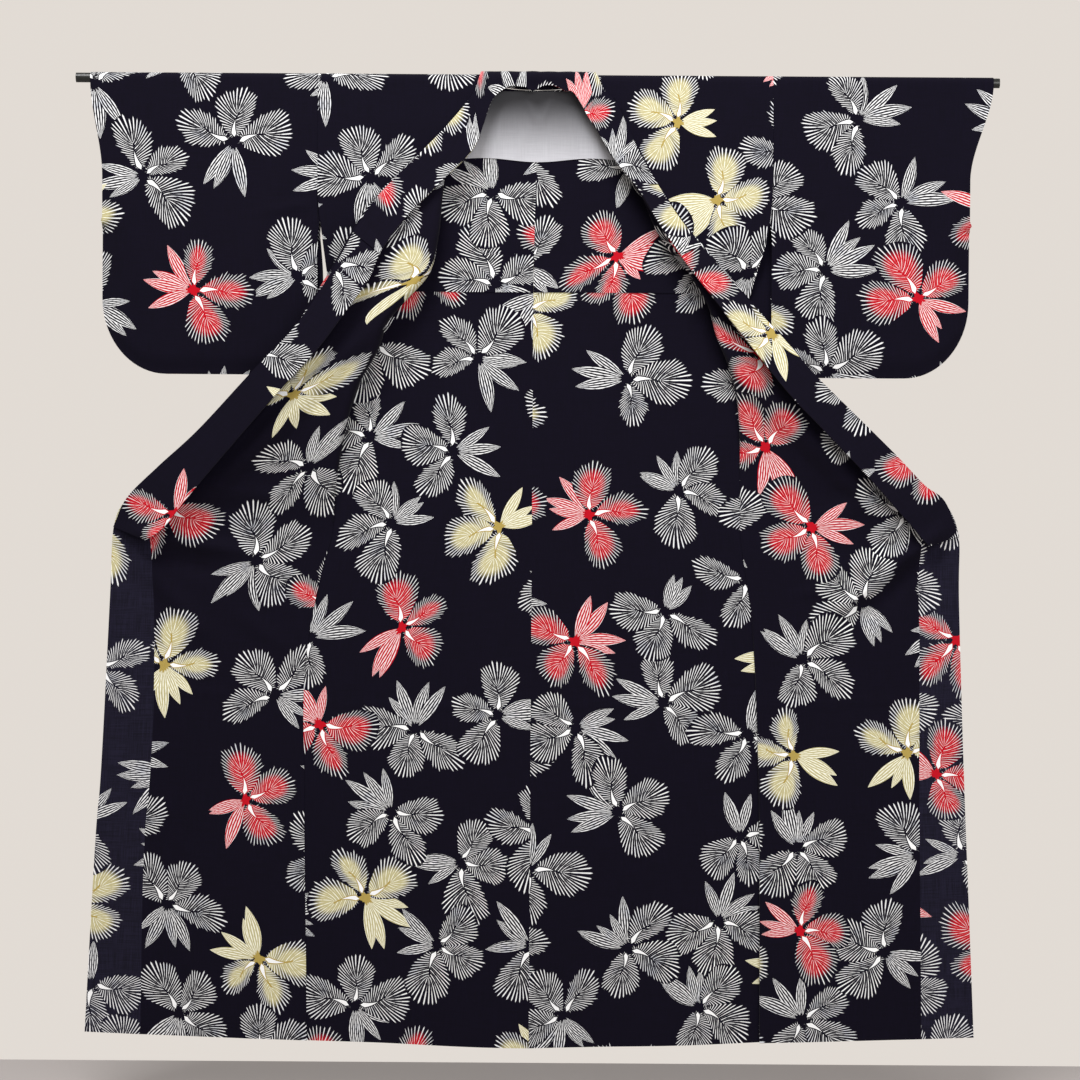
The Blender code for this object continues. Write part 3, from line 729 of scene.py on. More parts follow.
    def back(self, side: Side) -> Sheet:
        """A back panel, from the shoulder and neckline to the hem."""
        s = self.sizes
        line = self.seams[side]
        line = line[line[:, 0] <= s.seam_gap]
        order = np.argsort(line[:, 1])
        side_top = FRONTS[side][0].side_out
        neck = s.neck_half_width * self.shares(s.neck_columns) ** s.neck_crowding
        shoulder = np.linspace(s.neck_half_width, side_top, s.shoulder_columns)
        columns = np.concatenate([neck, shoulder[1:]])
        neck_reach = np.interp(columns, line[order, 1], -line[order, 0])
        top = np.where(columns < s.neck_half_width, neck_reach + s.neck_cut, 0.0)
        full = s.quarter + s.hem_drop
        rows = SheetRows()
        for reach in self.reaches(0.0, full):
            places = top + reach * (full - top) / full
            drops = np.maximum(places - s.quarter, 0.0)
            level = max(reach - s.quarter, 0.0)
            side_out = level_table(FRONTS[side], [level])[0, 0]
            centre = s.centre_shift * ease(drops, 0.0, s.centre_shift_drop)
            out = columns * side_out / side_top
            x = side * (s.seam_gap / 2 + out * (1 - s.seam_gap / side_out))
            x = x + centre * (1 - columns / side_top)
            y, z = self.over_rod(-places, s.body_bend)
            y = y + self.back_y(x, drops) - s.body_bend
            z = z + self.hem_lift(out, drops)
            taken = 2 * s.tuck_depth * (drops > s.tuck_edge_drop - s.tuck_depth)
            rows.add(x, y, z, s.loom_width - side_out + out, -places - taken)
        sheet = rows.sheet()
        sewn = ease(-sheet.points[:, -1, 2], *s.side_sewn)
        sheet = sheet.allowance(False, SEAM_LEAST + (SEAM_WIDTH - SEAM_LEAST) * sewn)
        return sheet.allowance(True, SEAM_WIDTH) if side == Side.LEFT else sheet

    def tuck(self, side: Side) -> Sheet:
        """Half of the waist tuck, on the inside of the back."""
        s = self.sizes
        shares = self.shares(s.tuck_columns)
        rows = SheetRows()
        for drop in np.linspace(s.tuck_edge_drop - s.tuck_depth, s.tuck_edge_drop, s.tuck_rows):
            centre = s.centre_shift * float(ease(drop, 0.0, s.centre_shift_drop))
            start = centre + side * s.seam_gap
            x = start + shares * (side * s.tuck_half_width - start)
            y = self.back_y(x, drop) - s.layer_step
            side_out = level_table(FRONTS[side], [drop])[0, 0]
            out = side * (x - centre) / (1 - side * centre / side_out)
            rows.add(x, y, -drop, s.loom_width - side_out + out, -drop - s.quarter)
        return rows.sheet()

    def lining(self) -> Sheet:
        """The shoulder lining, on the inside of the back."""
        s = self.sizes
        x = np.linspace(s.lining_left, s.lining_right, s.lining_columns)
        wave = s.lining_wave * np.cos(2 * math.pi * x / s.lining_wave_length)
        bottom = s.lining_bottom_drop + wave
        rows = SheetRows()
        for share in self.shares(s.lining_rows):
            drops = s.lining_top_drop + share * (bottom - s.lining_top_drop)
            y = self.back_y(x, drops) - s.layer_step
            rows.add(x, y, -drops, x - s.lining_left, drops)
        return rows.sheet()

    def sleeve(self, side: Side) -> Sheet:
        """A whole sleeve, from its front bottom edge over the rod to its back bottom edge."""
        before, behind = (self.sleeve_face(side, face) for face in (-1, 1))
        points = np.concatenate([before.points[::-1], behind.points[1:]])
        flat = np.concatenate([before.flat[::-1], behind.flat[1:]])
        sewn = 1 - ease(-points[:, 0, 2], *self.sizes.sleeve_loose)
        width = SEAM_LEAST + (SEAM_WIDTH - SEAM_LEAST) * sewn
        return Sheet(points, flat).allowance(True, width, -1)

    def sleeve_face(self, side: Side, face: int) -> Sheet:
        """One face of a sleeve, from the top of the rod down.

        Args:
            side: The side of the robe.
            face: -1 in front of the rod and 1 behind it.

        Returns:
            The face's sheet.
        """
        s = self.sizes
        which = 0 if side == Side.LEFT else 1
        furi = FRONTS[side][0].side_out + s.seam_gap / 2
        cuff, cuff_top = s.cuff_out[which], s.cuff_top[which]
        corner = cuff - s.sleeve_corner_width
        straight = np.linspace(furi, corner, s.sleeve_columns)
        turn = np.linspace(0, math.pi / 2, s.corner_columns)[1:]
        bottom_out = np.concatenate([straight, corner + s.sleeve_corner_width * np.sin(turn)])
        lifted = s.sleeve_corner_height * (1 - np.cos(turn))
        bottom = s.sleeve_drop - np.concatenate([np.zeros(len(straight)), lifted])
        shares = (bottom_out - furi) / (cuff - furi)
        rows = SheetRows()
        for reach in np.linspace(0.0, s.quarter, s.rod_rows)[:-1]:
            out = furi + shares * (cuff_top - furi)
            y, z = self.over_rod(-face * reach, s.body_bend)
            rows.add(side * out, y, z, out - furi, -face * reach)
        for level in self.reaches(0.0, s.sleeve_drop) / s.sleeve_drop:
            drops = level * bottom
            reach_out = cuff + (cuff_top - cuff) * (1 - ease(drops, 0.0, s.cuff_flare_drop))
            lean = s.sleeve_lean[which] * (face > 0)
            inner = furi - lean * ease(drops, s.sleeve_lean_top, s.sleeve_lean_bottom)
            out = inner + shares * (reach_out - inner)
            to_cuff = np.where(drops > s.sleeve_sewn_from, reach_out - out, s.sleeve_pinch)
            open_share = np.minimum(
                ease(bottom - drops, 0, s.sleeve_pinch), ease(to_cuff, 0, s.sleeve_pinch)
            )
            sewn = s.cloth / 2 + s.seam_gap / 2
            narrow = ease(drops, 0.0, s.sleeve_drop)
            depth = s.body_bend + (s.sleeve_lower_depth - s.body_bend) * narrow
            y = face * (sewn + (depth - sewn) * open_share)
            rows.add(side * out, y, -drops, out - furi, -face * (drops + s.quarter))
        return rows.sheet()

    def collar_path(self) -> tuple[list[tuple[float, ...]], np.ndarray]:
        """The whole collar's stations from left to right, and the lengths along it."""
        left = [
            (-c.seam_out, c.seam_reach, c.seam_forward, -c.edge_out, c.edge_reach, c.edge_forward)
            for c in reversed(COLLARS[Side.LEFT])
        ]
        right = [tuple(c) for c in COLLARS[Side.RIGHT]]
        middle = tuple((a + b) / 2 for a, b in zip(left[-1], right[0]))
        stations = [*left[:-1], middle, *right[1:]]
        lengths = np.linalg.norm(np.diff(np.array(stations)[:, :2], axis=0), axis=1)
        return stations, np.concatenate([[0], np.cumsum(lengths)])

    def collar(self) -> Sheet:
        """The collar band from its left end round the neck to its right end."""
        s = self.sizes
        stations, along = self.collar_path()
        across = self.shares(s.collar_columns)
        places = self.reaches(0.0, along[-1])
        middle = along[len(COLLARS[Side.LEFT]) - 1]
        rows = SheetRows()
        for place, station in zip(places, smooth_table(stations, places / along[-1])):
            seam_x, seam_reach, seam_forward, edge_x, edge_reach, edge_forward = station
            x = seam_x + across * (edge_x - seam_x)
            reach = seam_reach + across * (edge_reach - seam_reach)
            forward = seam_forward + across * (edge_forward - seam_forward)
            sag = sum(
                lump.drop * bump(place - middle, lump.place, lump.width) for lump in NECK_LUMPS
            )
            reach = reach + sag * across**2
            forward = forward + s.lump_puff * abs(sag) * np.sin(math.pi * across) ** 2
            y, z = self.over_rod(reach, s.collar_bend)
            width = math.hypot(edge_x - seam_x, edge_reach - seam_reach)
            rows.add(x, y - forward, z, across * width, place)
        return rows.sheet()

    def over_collar(self) -> Sheet:
        """The over-collar: the collar's own points, moved out."""
        along = self.collar_path()[1]
        middle = along[len(COLLARS[Side.LEFT]) - 1]
        half = self.sizes.over_collar_half
        collar = self.collar()
        normals = np.cross(
            np.gradient(collar.points, axis=1), np.gradient(collar.points, axis=0)
        )
        normals /= np.linalg.norm(normals, axis=2)[:, :, None]
        moved = collar.points + self.sizes.collar_step * normals
        places = collar.flat[:, 0, 1]
        covered = (places > middle - half) & (places < middle + half)
        return Sheet(moved[covered], collar.flat[covered])


@dataclass(frozen=True)
class PetalShape:
    """Sizes of a printed petal: lengths are shares of its own, and widths shares of a stroke."""

    code_step: float = 10.0
    bend_step: float = 0.08
    bend_first: float = -0.12
    egg_middle: float = 0.54
    egg_half: float = 0.46
    egg_width: float = 0.355
    oval_narrowing: float = -0.07
    tip_swell: float = 0.30
    uneven_step: float = 0.11
    uneven_first: float = -0.165
    roundness: float = 2.0
    oval_pointing: float = -0.55
    sector_slope: float = 0.72
    sector_foot: float = 0.02
    near_focus: float = 0.12
    far_focus: float = 0.56
    sweep: float = -0.50
    fan_count: float = 6.6
    fan_turn: float = 0.37
    dash_count: float = 2.3
    dash_jitter: float = 0.35
    dash_waist: float = -0.97
    rim: tuple[float, float] = (0.52, 0.66)
    stroke_end: float = 0.91
    stroke_end_jitter: float = 0.15
    stroke_point: float = 14.0
    stroke_width: float = 0.180
    stroke_taper: float = -0.05
    red_narrowing: float = -0.04
    inner: tuple[float, float] = (0.30, 0.60)
    inner_even: float = 0.4
    inner_odd: float = -1.4
    stroke_edge: float = 9.0
    leaf_middle: float = 0.53
    leaf_half: float = 0.49
    leaf_width: float = 0.125
    braid_count: float = 2.5
    braid_turn: float = 0.3
    run_count: float = 4.6
    run_waist: float = -0.9
    braid_width: float = 0.23
    braid_edge: float = 7.0
    wedge_foot: float = 0.10
    wedge_rise: float = 0.06
    wedge_tip: float = 0.40
    wedge_fall: float = 0.24
    wedge_bow: tuple[float, float, float] = (0.13, 0.45, 0.9)
    wedge_width: float = 0.040
    clear_width: float = 0.044
    clear_line: float = 0.014
    clear_middle: float = 0.30
    clear_half: float = 0.24
    ray_slope: float = -2.4
    ray_length: float = 0.17
    heart_radius: float = 0.030
    dye_fade: tuple[float, float] = (0.42, 0.78)
    foot_fade: tuple[float, float] = (0.15, 0.5)
    dye_end: float = 0.90

    def code(self, petal: Petal) -> float:
        """The petal's cut, dye and seed as one number, a multiple of the code step."""
        dye_and_seed = petal.dye + len(Dye) * petal.seed
        return self.code_step * (1 + petal.cut + len(PetalCut) * dye_and_seed)

    def bend(self, seed: object) -> object:
        """How far a petal with this seed bows to one side."""
        return self.bend_step * seed + self.bend_first


PETAL = PetalShape()
PETAL_LAYERS = 5


@dataclass(frozen=True)
class BlossomPrint:
    """Scatters printed blossoms over a flat cloth and gives each face its petals."""

    gap: float = 0.133
    tries: int = 160
    margin: float = 0.070
    large: float = 0.089
    small: float = 0.074
    share_red: float = 0.16
    share_cream: float = 0.17
    share_round: float = 0.6
    share_fourth_blade: float = 0.6
    large_angles: tuple[float, ...] = (-1.22, 0.0, 1.30)
    blade_angles: tuple[float, ...] = (3.32, 2.93, 2.48, 2.05)
    large_lean: float = 0.25
    blade_lean: float = 0.2
    large_lengths: tuple[float, float] = (0.86, 0.26)
    blade_lengths: tuple[float, float] = (0.78, 0.38)
    seeds: int = 4
    face_egg: tuple[float, float] = (0.53, 0.52)
    face_half_widths: tuple[float, float] = (0.46, 0.15)
    face_reach: float = 1.08
    sector_margin: float = 0.05
    sector_edge: float = 1.2
    nowhere: float = -2.0

    def hearts(self, extent: np.ndarray, rng: np.random.Generator) -> np.ndarray:
        """Places of the blossoms on a flat cloth.

        Args:
            extent: The lowest and highest places of the cloth.
            rng: The seeded source of chance.

        Returns:
            Rows of (across, along).
        """
        low = extent[0] - self.margin
        high = extent[1] + self.margin
        found = [low + rng.random(2) * (high - low)]
        area = float(np.prod(high - low))
        tries = int(self.tries * area / self.gap**2)
        for place in low + rng.random((tries, 2)) * (high - low):
            if np.linalg.norm(np.array(found) - place, axis=1).min() > self.gap:
                found.append(place)
        return np.array(found)

    def petals(self, extent: np.ndarray, seed: int) -> list[Petal]:
        """Petals of all the blossoms of a cloth, the large ones first.

        Args:
            extent: The lowest and highest places of the cloth.
            seed: Seed of the cloth's own scatter.

        Returns:
            The petals in the order in which faces take them.
        """
        rng = np.random.default_rng(seed)
        large, small = [], []
        for across, along in self.hearts(extent, rng):
            turn = rng.random() * 2 * math.pi
            pick = rng.random()
            dye = Dye.NAVY
            if pick < self.share_red:
                dye = Dye.RED
            elif pick < self.share_red + self.share_cream:
                dye = Dye.CREAM
            for angle in self.large_angles:
                cut = PetalCut.ROUND if rng.random() < self.share_round else PetalCut.OVAL
                shortest, spread = self.large_lengths
                length = self.large * (shortest + spread * rng.random())
                lean = turn + angle + self.large_lean * (rng.random() - 0.5)
                kind = int(rng.integers(self.seeds))
                large.append(Petal(across, along, lean, length, cut, dye, kind))
            blades = len(self.blade_angles) - int(rng.random() >= self.share_fourth_blade)
            for angle in self.blade_angles[:blades]:
                shortest, spread = self.blade_lengths
                length = self.small * (shortest + spread * rng.random())
                lean = turn + angle + self.blade_lean * (rng.random() - 0.5)
                kind = int(rng.integers(self.seeds))
                small.append(Petal(across, along, lean, length, PetalCut.BLADE, dye, kind))
        return large + small

    def paint(self, corners: np.ndarray, petals: list[Petal]) -> np.ndarray:
        """Petal coordinates for each face's corners.

        Args:
            corners: Flat places of each face's corners, faces by 4 by 2.
            petals: The cloth's petals.

        Returns:
            Layers by faces by 4 by 2: (length along the petal, across it), as shares of its
            length, with the petal's code times the code step added to the first.
        """
        middles = corners.mean(axis=1)
        half = np.linalg.norm(corners[:, 0] - corners[:, 2], axis=1).max() / 2
        layers = np.full((PETAL_LAYERS, len(corners), 4, 2), self.nowhere)
        used = np.zeros(len(corners), int)
        middle, middle_half = self.face_egg
        for petal in petals:
            heart = np.array([petal.across, petal.along])
            axis = np.array([math.cos(petal.angle), math.sin(petal.angle)])
            turned = np.array([axis, [-axis[1], axis[0]]]).T / petal.length
            reach = petal.length * self.face_reach + half
            near = np.linalg.norm(middles - heart, axis=1) < reach
            places = (middles[near] - heart) @ turned
            edge = half / petal.length
            out = places[:, 0]
            side = np.abs(places[:, 1] + out**2 * PETAL.bend(petal.seed))
            wide = self.face_half_widths[petal.cut == PetalCut.BLADE]
            inside = ((out - middle) / (middle_half + edge)) ** 2 + (side / (wide + edge)) ** 2 < 1
            sector = PETAL.sector_slope * np.maximum(out, 0)
            inside &= side < sector + self.sector_margin + self.sector_edge * edge
            faces = np.flatnonzero(near)[inside]
            faces = faces[used[faces] < PETAL_LAYERS]
            local = (corners[faces] - heart) @ turned
            local[..., 0] += PETAL.code(petal)
            layers[used[faces], faces] = local
            used[faces] += 1
        return layers


def fill(slot: bpy.types.NodeSocket, value: object) -> None:
    """Links a slot to a signal or a socket, or sets its value."""
    if isinstance(value, Signal):
        value = value.socket
    if isinstance(value, bpy.types.NodeSocket):
        slot.id_data.links.new(value, slot)
    else:
        slot.default_value = value


class Signal:
    """A number in a node tree, whose arithmetic adds Math nodes."""

    def __init__(self, socket: bpy.types.NodeSocket) -> None:
        """Keeps the socket that gives the number."""
        self.socket = socket

    def node(self, kind: str, *inputs: object) -> bpy.types.Node:
        """Adds a node and fills its first slots."""
        node = self.socket.id_data.nodes.new(kind)
        for slot, value in zip(node.inputs, inputs):
            fill(slot, value)
        return node

    def math(self, operation: str, *others: object) -> "Signal":
        """The result of a Math node on this number and up to two more."""
        node = self.node("ShaderNodeMath", self, *others)
        node.operation = operation
        return Signal(node.outputs[0])

    def __add__(self, other: object) -> "Signal":
        """The sum."""
        return self.math("ADD", other)

    def __sub__(self, other: object) -> "Signal":
        """The difference."""
        return self.math("SUBTRACT", other)

    def __rsub__(self, first: float) -> "Signal":
        """A plain number less this one."""
        return self.scaled(-1.0, first)

    def __mul__(self, other: object) -> "Signal":
        """The product."""
        return self.math("MULTIPLY", other)

    def __truediv__(self, other: object) -> "Signal":
        """The quotient."""
        return self.math("DIVIDE", other)

    def __lt__(self, other: object) -> "Signal":
        """1 where it is less than the other, and 0 elsewhere."""
        return self.math("LESS_THAN", other)

    def __gt__(self, other: object) -> "Signal":
        """1 where it is greater than the other, and 0 elsewhere."""
        return self.math("GREATER_THAN", other)

    def __abs__(self) -> "Signal":
        """Its size without its sign."""
        return self.math("ABSOLUTE")

    def scaled(self, factor: object, offset: object) -> "Signal":
        """The product with a factor, plus an offset."""
        return self.math("MULTIPLY_ADD", factor, offset)

    def near(self, value: float, reach: float = 0.1) -> "Signal":
        """1 where it is within reach of the value, and 0 elsewhere."""
        return self.math("COMPARE", value, reach)

    def most(self, other: object) -> "Signal":
        """The greater of it and the other."""
        return self.math("MAXIMUM", other)

    def clamp(self, low: float = 0.0, high: float = 1.0) -> "Signal":
        """Its value kept between two limits."""
        return Signal(self.node("ShaderNodeClamp", self, low, high).outputs[0])

    def lens(self, waist: float) -> "Signal":
        """The swelling of a dash over each whole number, 1 at its middle."""
        place = self.math("FRACT").scaled(2.0, -1.0)
        return (place * place).scaled(waist, 1.0).math("SQRT")

    def off_line(self) -> "Signal":
        """Distance from the middle line between two whole numbers."""
        return abs(self.math("FRACT") - 0.5)

    def smooth(self, low: float, high: float) -> "Signal":
        """A smooth step from 0 where it is low to 1 where it is high."""
        node = self.node("ShaderNodeMapRange", self, low, high)
        node.interpolation_type = "SMOOTHSTEP"
        return Signal(node.outputs["Result"])


class NodeDesk:
    """Adds nodes to a tree."""

    def __init__(self, tree: bpy.types.NodeTree) -> None:
        """Keeps the tree."""
        self.tree = tree

    def add(self, kind: str, **inputs: object) -> bpy.types.Node:
        """Adds a node and fills its inputs by name, with spaces written as underscores."""
        node = self.tree.nodes.new(kind)
        for name, value in inputs.items():
            fill(node.inputs[name.replace("_", " ")], value)
        return node

    def uv(self, name: str) -> bpy.types.NodeSocket:
        """The places of a UV map."""
        node = self.add("ShaderNodeUVMap")
        node.uv_map = name
        return node.outputs["UV"]

    def parts(self, vector: bpy.types.NodeSocket) -> tuple[Signal, Signal]:
        """The first two parts of a vector."""
        split = self.add("ShaderNodeSeparateXYZ", Vector=vector)
        return Signal(split.outputs["X"]), Signal(split.outputs["Y"])

    def noise(self, place: bpy.types.NodeSocket, stretch: tuple[float, float, float]) -> Signal:
        """Soft noise over a place that is stretched first."""
        scaled = self.add("ShaderNodeVectorMath", Vector=place)
        scaled.operation = "MULTIPLY"
        scaled.inputs[1].default_value = stretch
        node = self.add("ShaderNodeTexNoise", Vector=scaled.outputs["Vector"], Scale=1.0)
        return Signal(node.outputs["Fac"])

    def blend(self, share: object, first: object, second: object) -> bpy.types.NodeSocket:
        """A colour between two colours."""
        node = self.add("ShaderNodeMix")
        node.data_type = "RGBA"
        for slot, value in zip((0, 6, 7), (share, first, second)):
            fill(node.inputs[slot], value)
        return node.outputs[2]


class PetalStrokes:
    """The node group that draws one petal from its own coordinates."""

    def __init__(self) -> None:
        """Makes the group, reads the petal's code and draws the petal."""
        self.group = bpy.data.node_groups.new("petal_strokes", "ShaderNodeTree")
        face = self.group.interface
        face.new_socket("Place", in_out="INPUT", socket_type="NodeSocketVector")
        for name in ("Stroke", "Wedge", "Red", "Cream", "Heart", "Cover"):
            face.new_socket(name, in_out="OUTPUT", socket_type="NodeSocketFloat")
        desk = NodeDesk(self.group)
        x, y = desk.parts(desk.add("NodeGroupInput").outputs["Place"])
        self.code = x.scaled(1 / PETAL.code_step, 0.5).math("FLOOR")
        self.u = self.code.scaled(-PETAL.code_step, x)
        index = self.code - 1.0
        self.used = self.code > 0.5
        cut = index.math("FLOORED_MODULO", float(len(PetalCut)))
        rest = ((index + 0.5) / float(len(PetalCut))).math("FLOOR")
        self.dye = rest.math("FLOORED_MODULO", float(len(Dye)))
        self.seed = ((rest + 0.5) / float(len(Dye))).math("FLOOR")
        bend = self.seed.scaled(PETAL.bend_step, PETAL.bend_first)
        self.v = (self.u * self.u).scaled(bend, y)
        self.v_squared = self.v * self.v
        self.blade = cut > PetalCut.BLADE - 0.5
        self.oval = cut.near(float(PetalCut.OVAL))
        self.big = 1.0 - self.blade
        self.draw(desk)

    def egg_radius(self) -> Signal:
        """Distance from a large petal's middle, 1 at its outline, which is wider to the tip."""
        from_middle = (self.u - PETAL.egg_middle) / PETAL.egg_half
        half_width = self.oval.scaled(PETAL.oval_narrowing, PETAL.egg_width)
        half_width = half_width * from_middle.scaled(PETAL.tip_swell, 1.0)
        uneven = self.seed.scaled(PETAL.uneven_step, PETAL.uneven_first)
        uneven = self.v.math("SIGN").scaled(uneven, 1.0)
        side = abs(self.v / (half_width * uneven))
        roundness = self.oval.scaled(PETAL.oval_pointing, PETAL.roundness)
        egg = (from_middle * from_middle) + side.math("POWER", roundness)
        return egg.math("SQRT")

    def comb(self, desk: "NodeDesk", radius: Signal) -> Signal:
        """Strokes of the large petals: hyperbolas between two foci on the spine."""
        swept = abs(self.v).scaled(PETAL.sweep, self.u)
        near, far = (
            (swept - focus).scaled(swept - focus, self.v_squared).math("SQRT")
            for focus in (PETAL.near_focus, PETAL.far_focus)
        )
        lean = ((near - far) / (PETAL.far_focus - PETAL.near_focus)).clamp(-1.0, 1.0)
        fan = lean.math("ARCCOSINE") * self.v.math("SIGN")
        phase = fan.scaled(PETAL.fan_count, self.seed * PETAL.fan_turn)
        fan_index = phase.math("FLOOR")
        odd = fan_index.math("FLOORED_MODULO", 2.0)
        key = desk.add("ShaderNodeCombineXYZ", X=fan_index, Y=self.code)
        chance = desk.add("ShaderNodeTexWhiteNoise")
        chance.noise_dimensions = "2D"
        fill(chance.inputs["Vector"], key.outputs[0])
        jitter = Signal(chance.outputs["Value"])
        dash = jitter.scaled(PETAL.dash_jitter, odd.scaled(0.5, radius * PETAL.dash_count))
        lens = dash.lens(PETAL.dash_waist).most(radius.smooth(*PETAL.rim))
        end = jitter.scaled(PETAL.stroke_end_jitter, PETAL.stroke_end)
        point = ((end - radius) * PETAL.stroke_point).clamp()
        dyed = self.dye.near(float(Dye.RED)) * PETAL.red_narrowing
        width = dyed + radius.scaled(PETAL.stroke_taper, PETAL.stroke_width)
        inner = 1.0 - radius.smooth(*PETAL.inner)
        parted = inner.scaled(odd.scaled(PETAL.inner_odd, PETAL.inner_even), 1.0)
        width = lens * point * width * parted
        strokes = (width - phase.off_line()).scaled(PETAL.stroke_edge, 0.5).clamp()
        return strokes * (radius < end)

    def braid(self) -> tuple[Signal, Signal]:
        """Braided strokes along a pointed leaf, and where the leaf is."""
        from_middle = (self.u - PETAL.leaf_middle) / PETAL.leaf_half
        leaf = (from_middle * from_middle).scaled(-PETAL.leaf_width, PETAL.leaf_width)
        leaf = leaf.most(0.0005)
        side = self.v / leaf
        row = side.scaled(PETAL.braid_count, self.seed * PETAL.braid_turn)
        odd = row.math("FLOOR").math("FLOORED_MODULO", 2.0)
        run = odd.scaled(0.5, self.u * PETAL.run_count)
        width = run.lens(PETAL.run_waist) * PETAL.braid_width
        strokes = (width - row.off_line()).scaled(PETAL.braid_edge, 0.5).clamp()
        inside = (abs(side) < 1.0) * (leaf > 0.002)
        return strokes * inside, inside

    def wedge(self) -> tuple[Signal, Signal]:
        """The white wedge at a large petal's foot, and the clear line and heart round it."""
        u = self.u
        rise = (u - PETAL.wedge_foot) / PETAL.wedge_rise
        fall = (PETAL.wedge_tip - u) / PETAL.wedge_fall
        taper = rise.math("MINIMUM", fall).clamp()
        start, stop, bow = PETAL.wedge_bow
        off_wedge = abs(((u - start) * (u - stop)).scaled(bow, self.v))
        wedge = off_wedge < taper * PETAL.wedge_width
        clear = off_wedge < taper.scaled(PETAL.clear_width, PETAL.clear_line)
        clear = clear * u.near(PETAL.clear_middle, PETAL.clear_half)
        ray = abs(self.v).scaled(PETAL.ray_slope, PETAL.ray_length).most(PETAL.heart_radius)
        heart = u.scaled(u, self.v_squared).math("SQRT") < ray
        return wedge * self.big * self.used, (clear * self.big).most(heart) * self.used

    def draw(self, desk: "NodeDesk") -> None:
        """Draws the strokes, the wedge, the clear heart and the dye's reach."""
        radius = self.egg_radius()
        sector = self.u.scaled(PETAL.sector_slope, PETAL.sector_foot).most(0.001)
        side_share = abs(self.v) / sector
        in_sector = side_share < 1.0
        braid, in_leaf = self.braid()
        wedge, clear = self.wedge()
        comb = self.comb(desk, radius) * in_sector
        stroke = comb.scaled(self.big, braid * self.blade) * (self.used - clear)
        at_foot = (1.0 - self.u.smooth(*PETAL.foot_fade)) * (radius < PETAL.dye_end)
        reach = (1.0 - radius.smooth(*PETAL.dye_fade)).most(at_foot)
        reach = reach * in_sector * (self.u > 0.0)
        reach = reach.scaled(self.big, in_leaf * self.blade).most(clear) * self.used
        cover = radius.most(side_share) < 1.0
        cover = cover.scaled(self.big, in_leaf * self.blade).most(clear) * self.used
        out = desk.add("NodeGroupOutput")
        for name, signal in (
            ("Stroke", stroke), ("Wedge", wedge), ("Heart", clear), ("Cover", cover),
            ("Red", reach * self.dye.near(float(Dye.RED))),
            ("Cream", reach * self.dye.near(float(Dye.CREAM))),
        ):
            fill(out.inputs[name], signal)


@dataclass(frozen=True)
class WovenCotton:
    """Plain-woven cotton: its yarns, slubs and roughness."""

    name: str
    ground: Colour
    yarn: float = 0.00055
    yarn_height: float = 0.5
    slub_height: float = 0.6
    slub_stretches: tuple[tuple[float, float, float], ...] = (
        (900.0, 24.0, 1.0), (24.0, 900.0, 1.0),
    )
    bump: float = 0.25
    bump_distance: float = 0.0004
    roughness: float = 0.9
    sheen: float = 0.03
    sheen_roughness: float = 0.5
    specular: float = 0.12

    def start(self) -> tuple[bpy.types.Material, NodeDesk, bpy.types.Node]:
        """A new material with its tree and its shader."""
        material = bpy.data.materials.new(self.name)
        material.use_nodes = True
        desk = NodeDesk(material.node_tree)
        shader = material.node_tree.nodes["Principled BSDF"]
        for name, value in (
            ("Roughness", self.roughness), ("Sheen Weight", self.sheen),
            ("Sheen Roughness", self.sheen_roughness), ("Specular IOR Level", self.specular),
        ):
            shader.inputs[name].default_value = value
        return material, desk, shader

    def weave(self, desk: NodeDesk) -> tuple[Signal, Signal]:
        """The weave's height and the cloth's soft unevenness, both from the flat cloth."""
        flat = desk.uv("cloth")
        turn = 2 * math.pi / self.yarn
        warp, weft = ((part * turn).math("SINE") for part in desk.parts(flat))
        yarns = (warp * weft).scaled(0.5, 0.5)
        across, along = (desk.noise(flat, stretch) for stretch in self.slub_stretches)
        slub = across + along
        return slub.scaled(self.slub_height, yarns * self.yarn_height), slub

    def finish(self, desk: NodeDesk, shader: bpy.types.Node, height: object) -> None:
        """Puts the weave's bump on the shader."""
        node = desk.add("ShaderNodeBump", Height=height)
        node.inputs["Strength"].default_value = self.bump
        node.inputs["Distance"].default_value = self.bump_distance
        fill(shader.inputs["Normal"], node.outputs["Normal"])


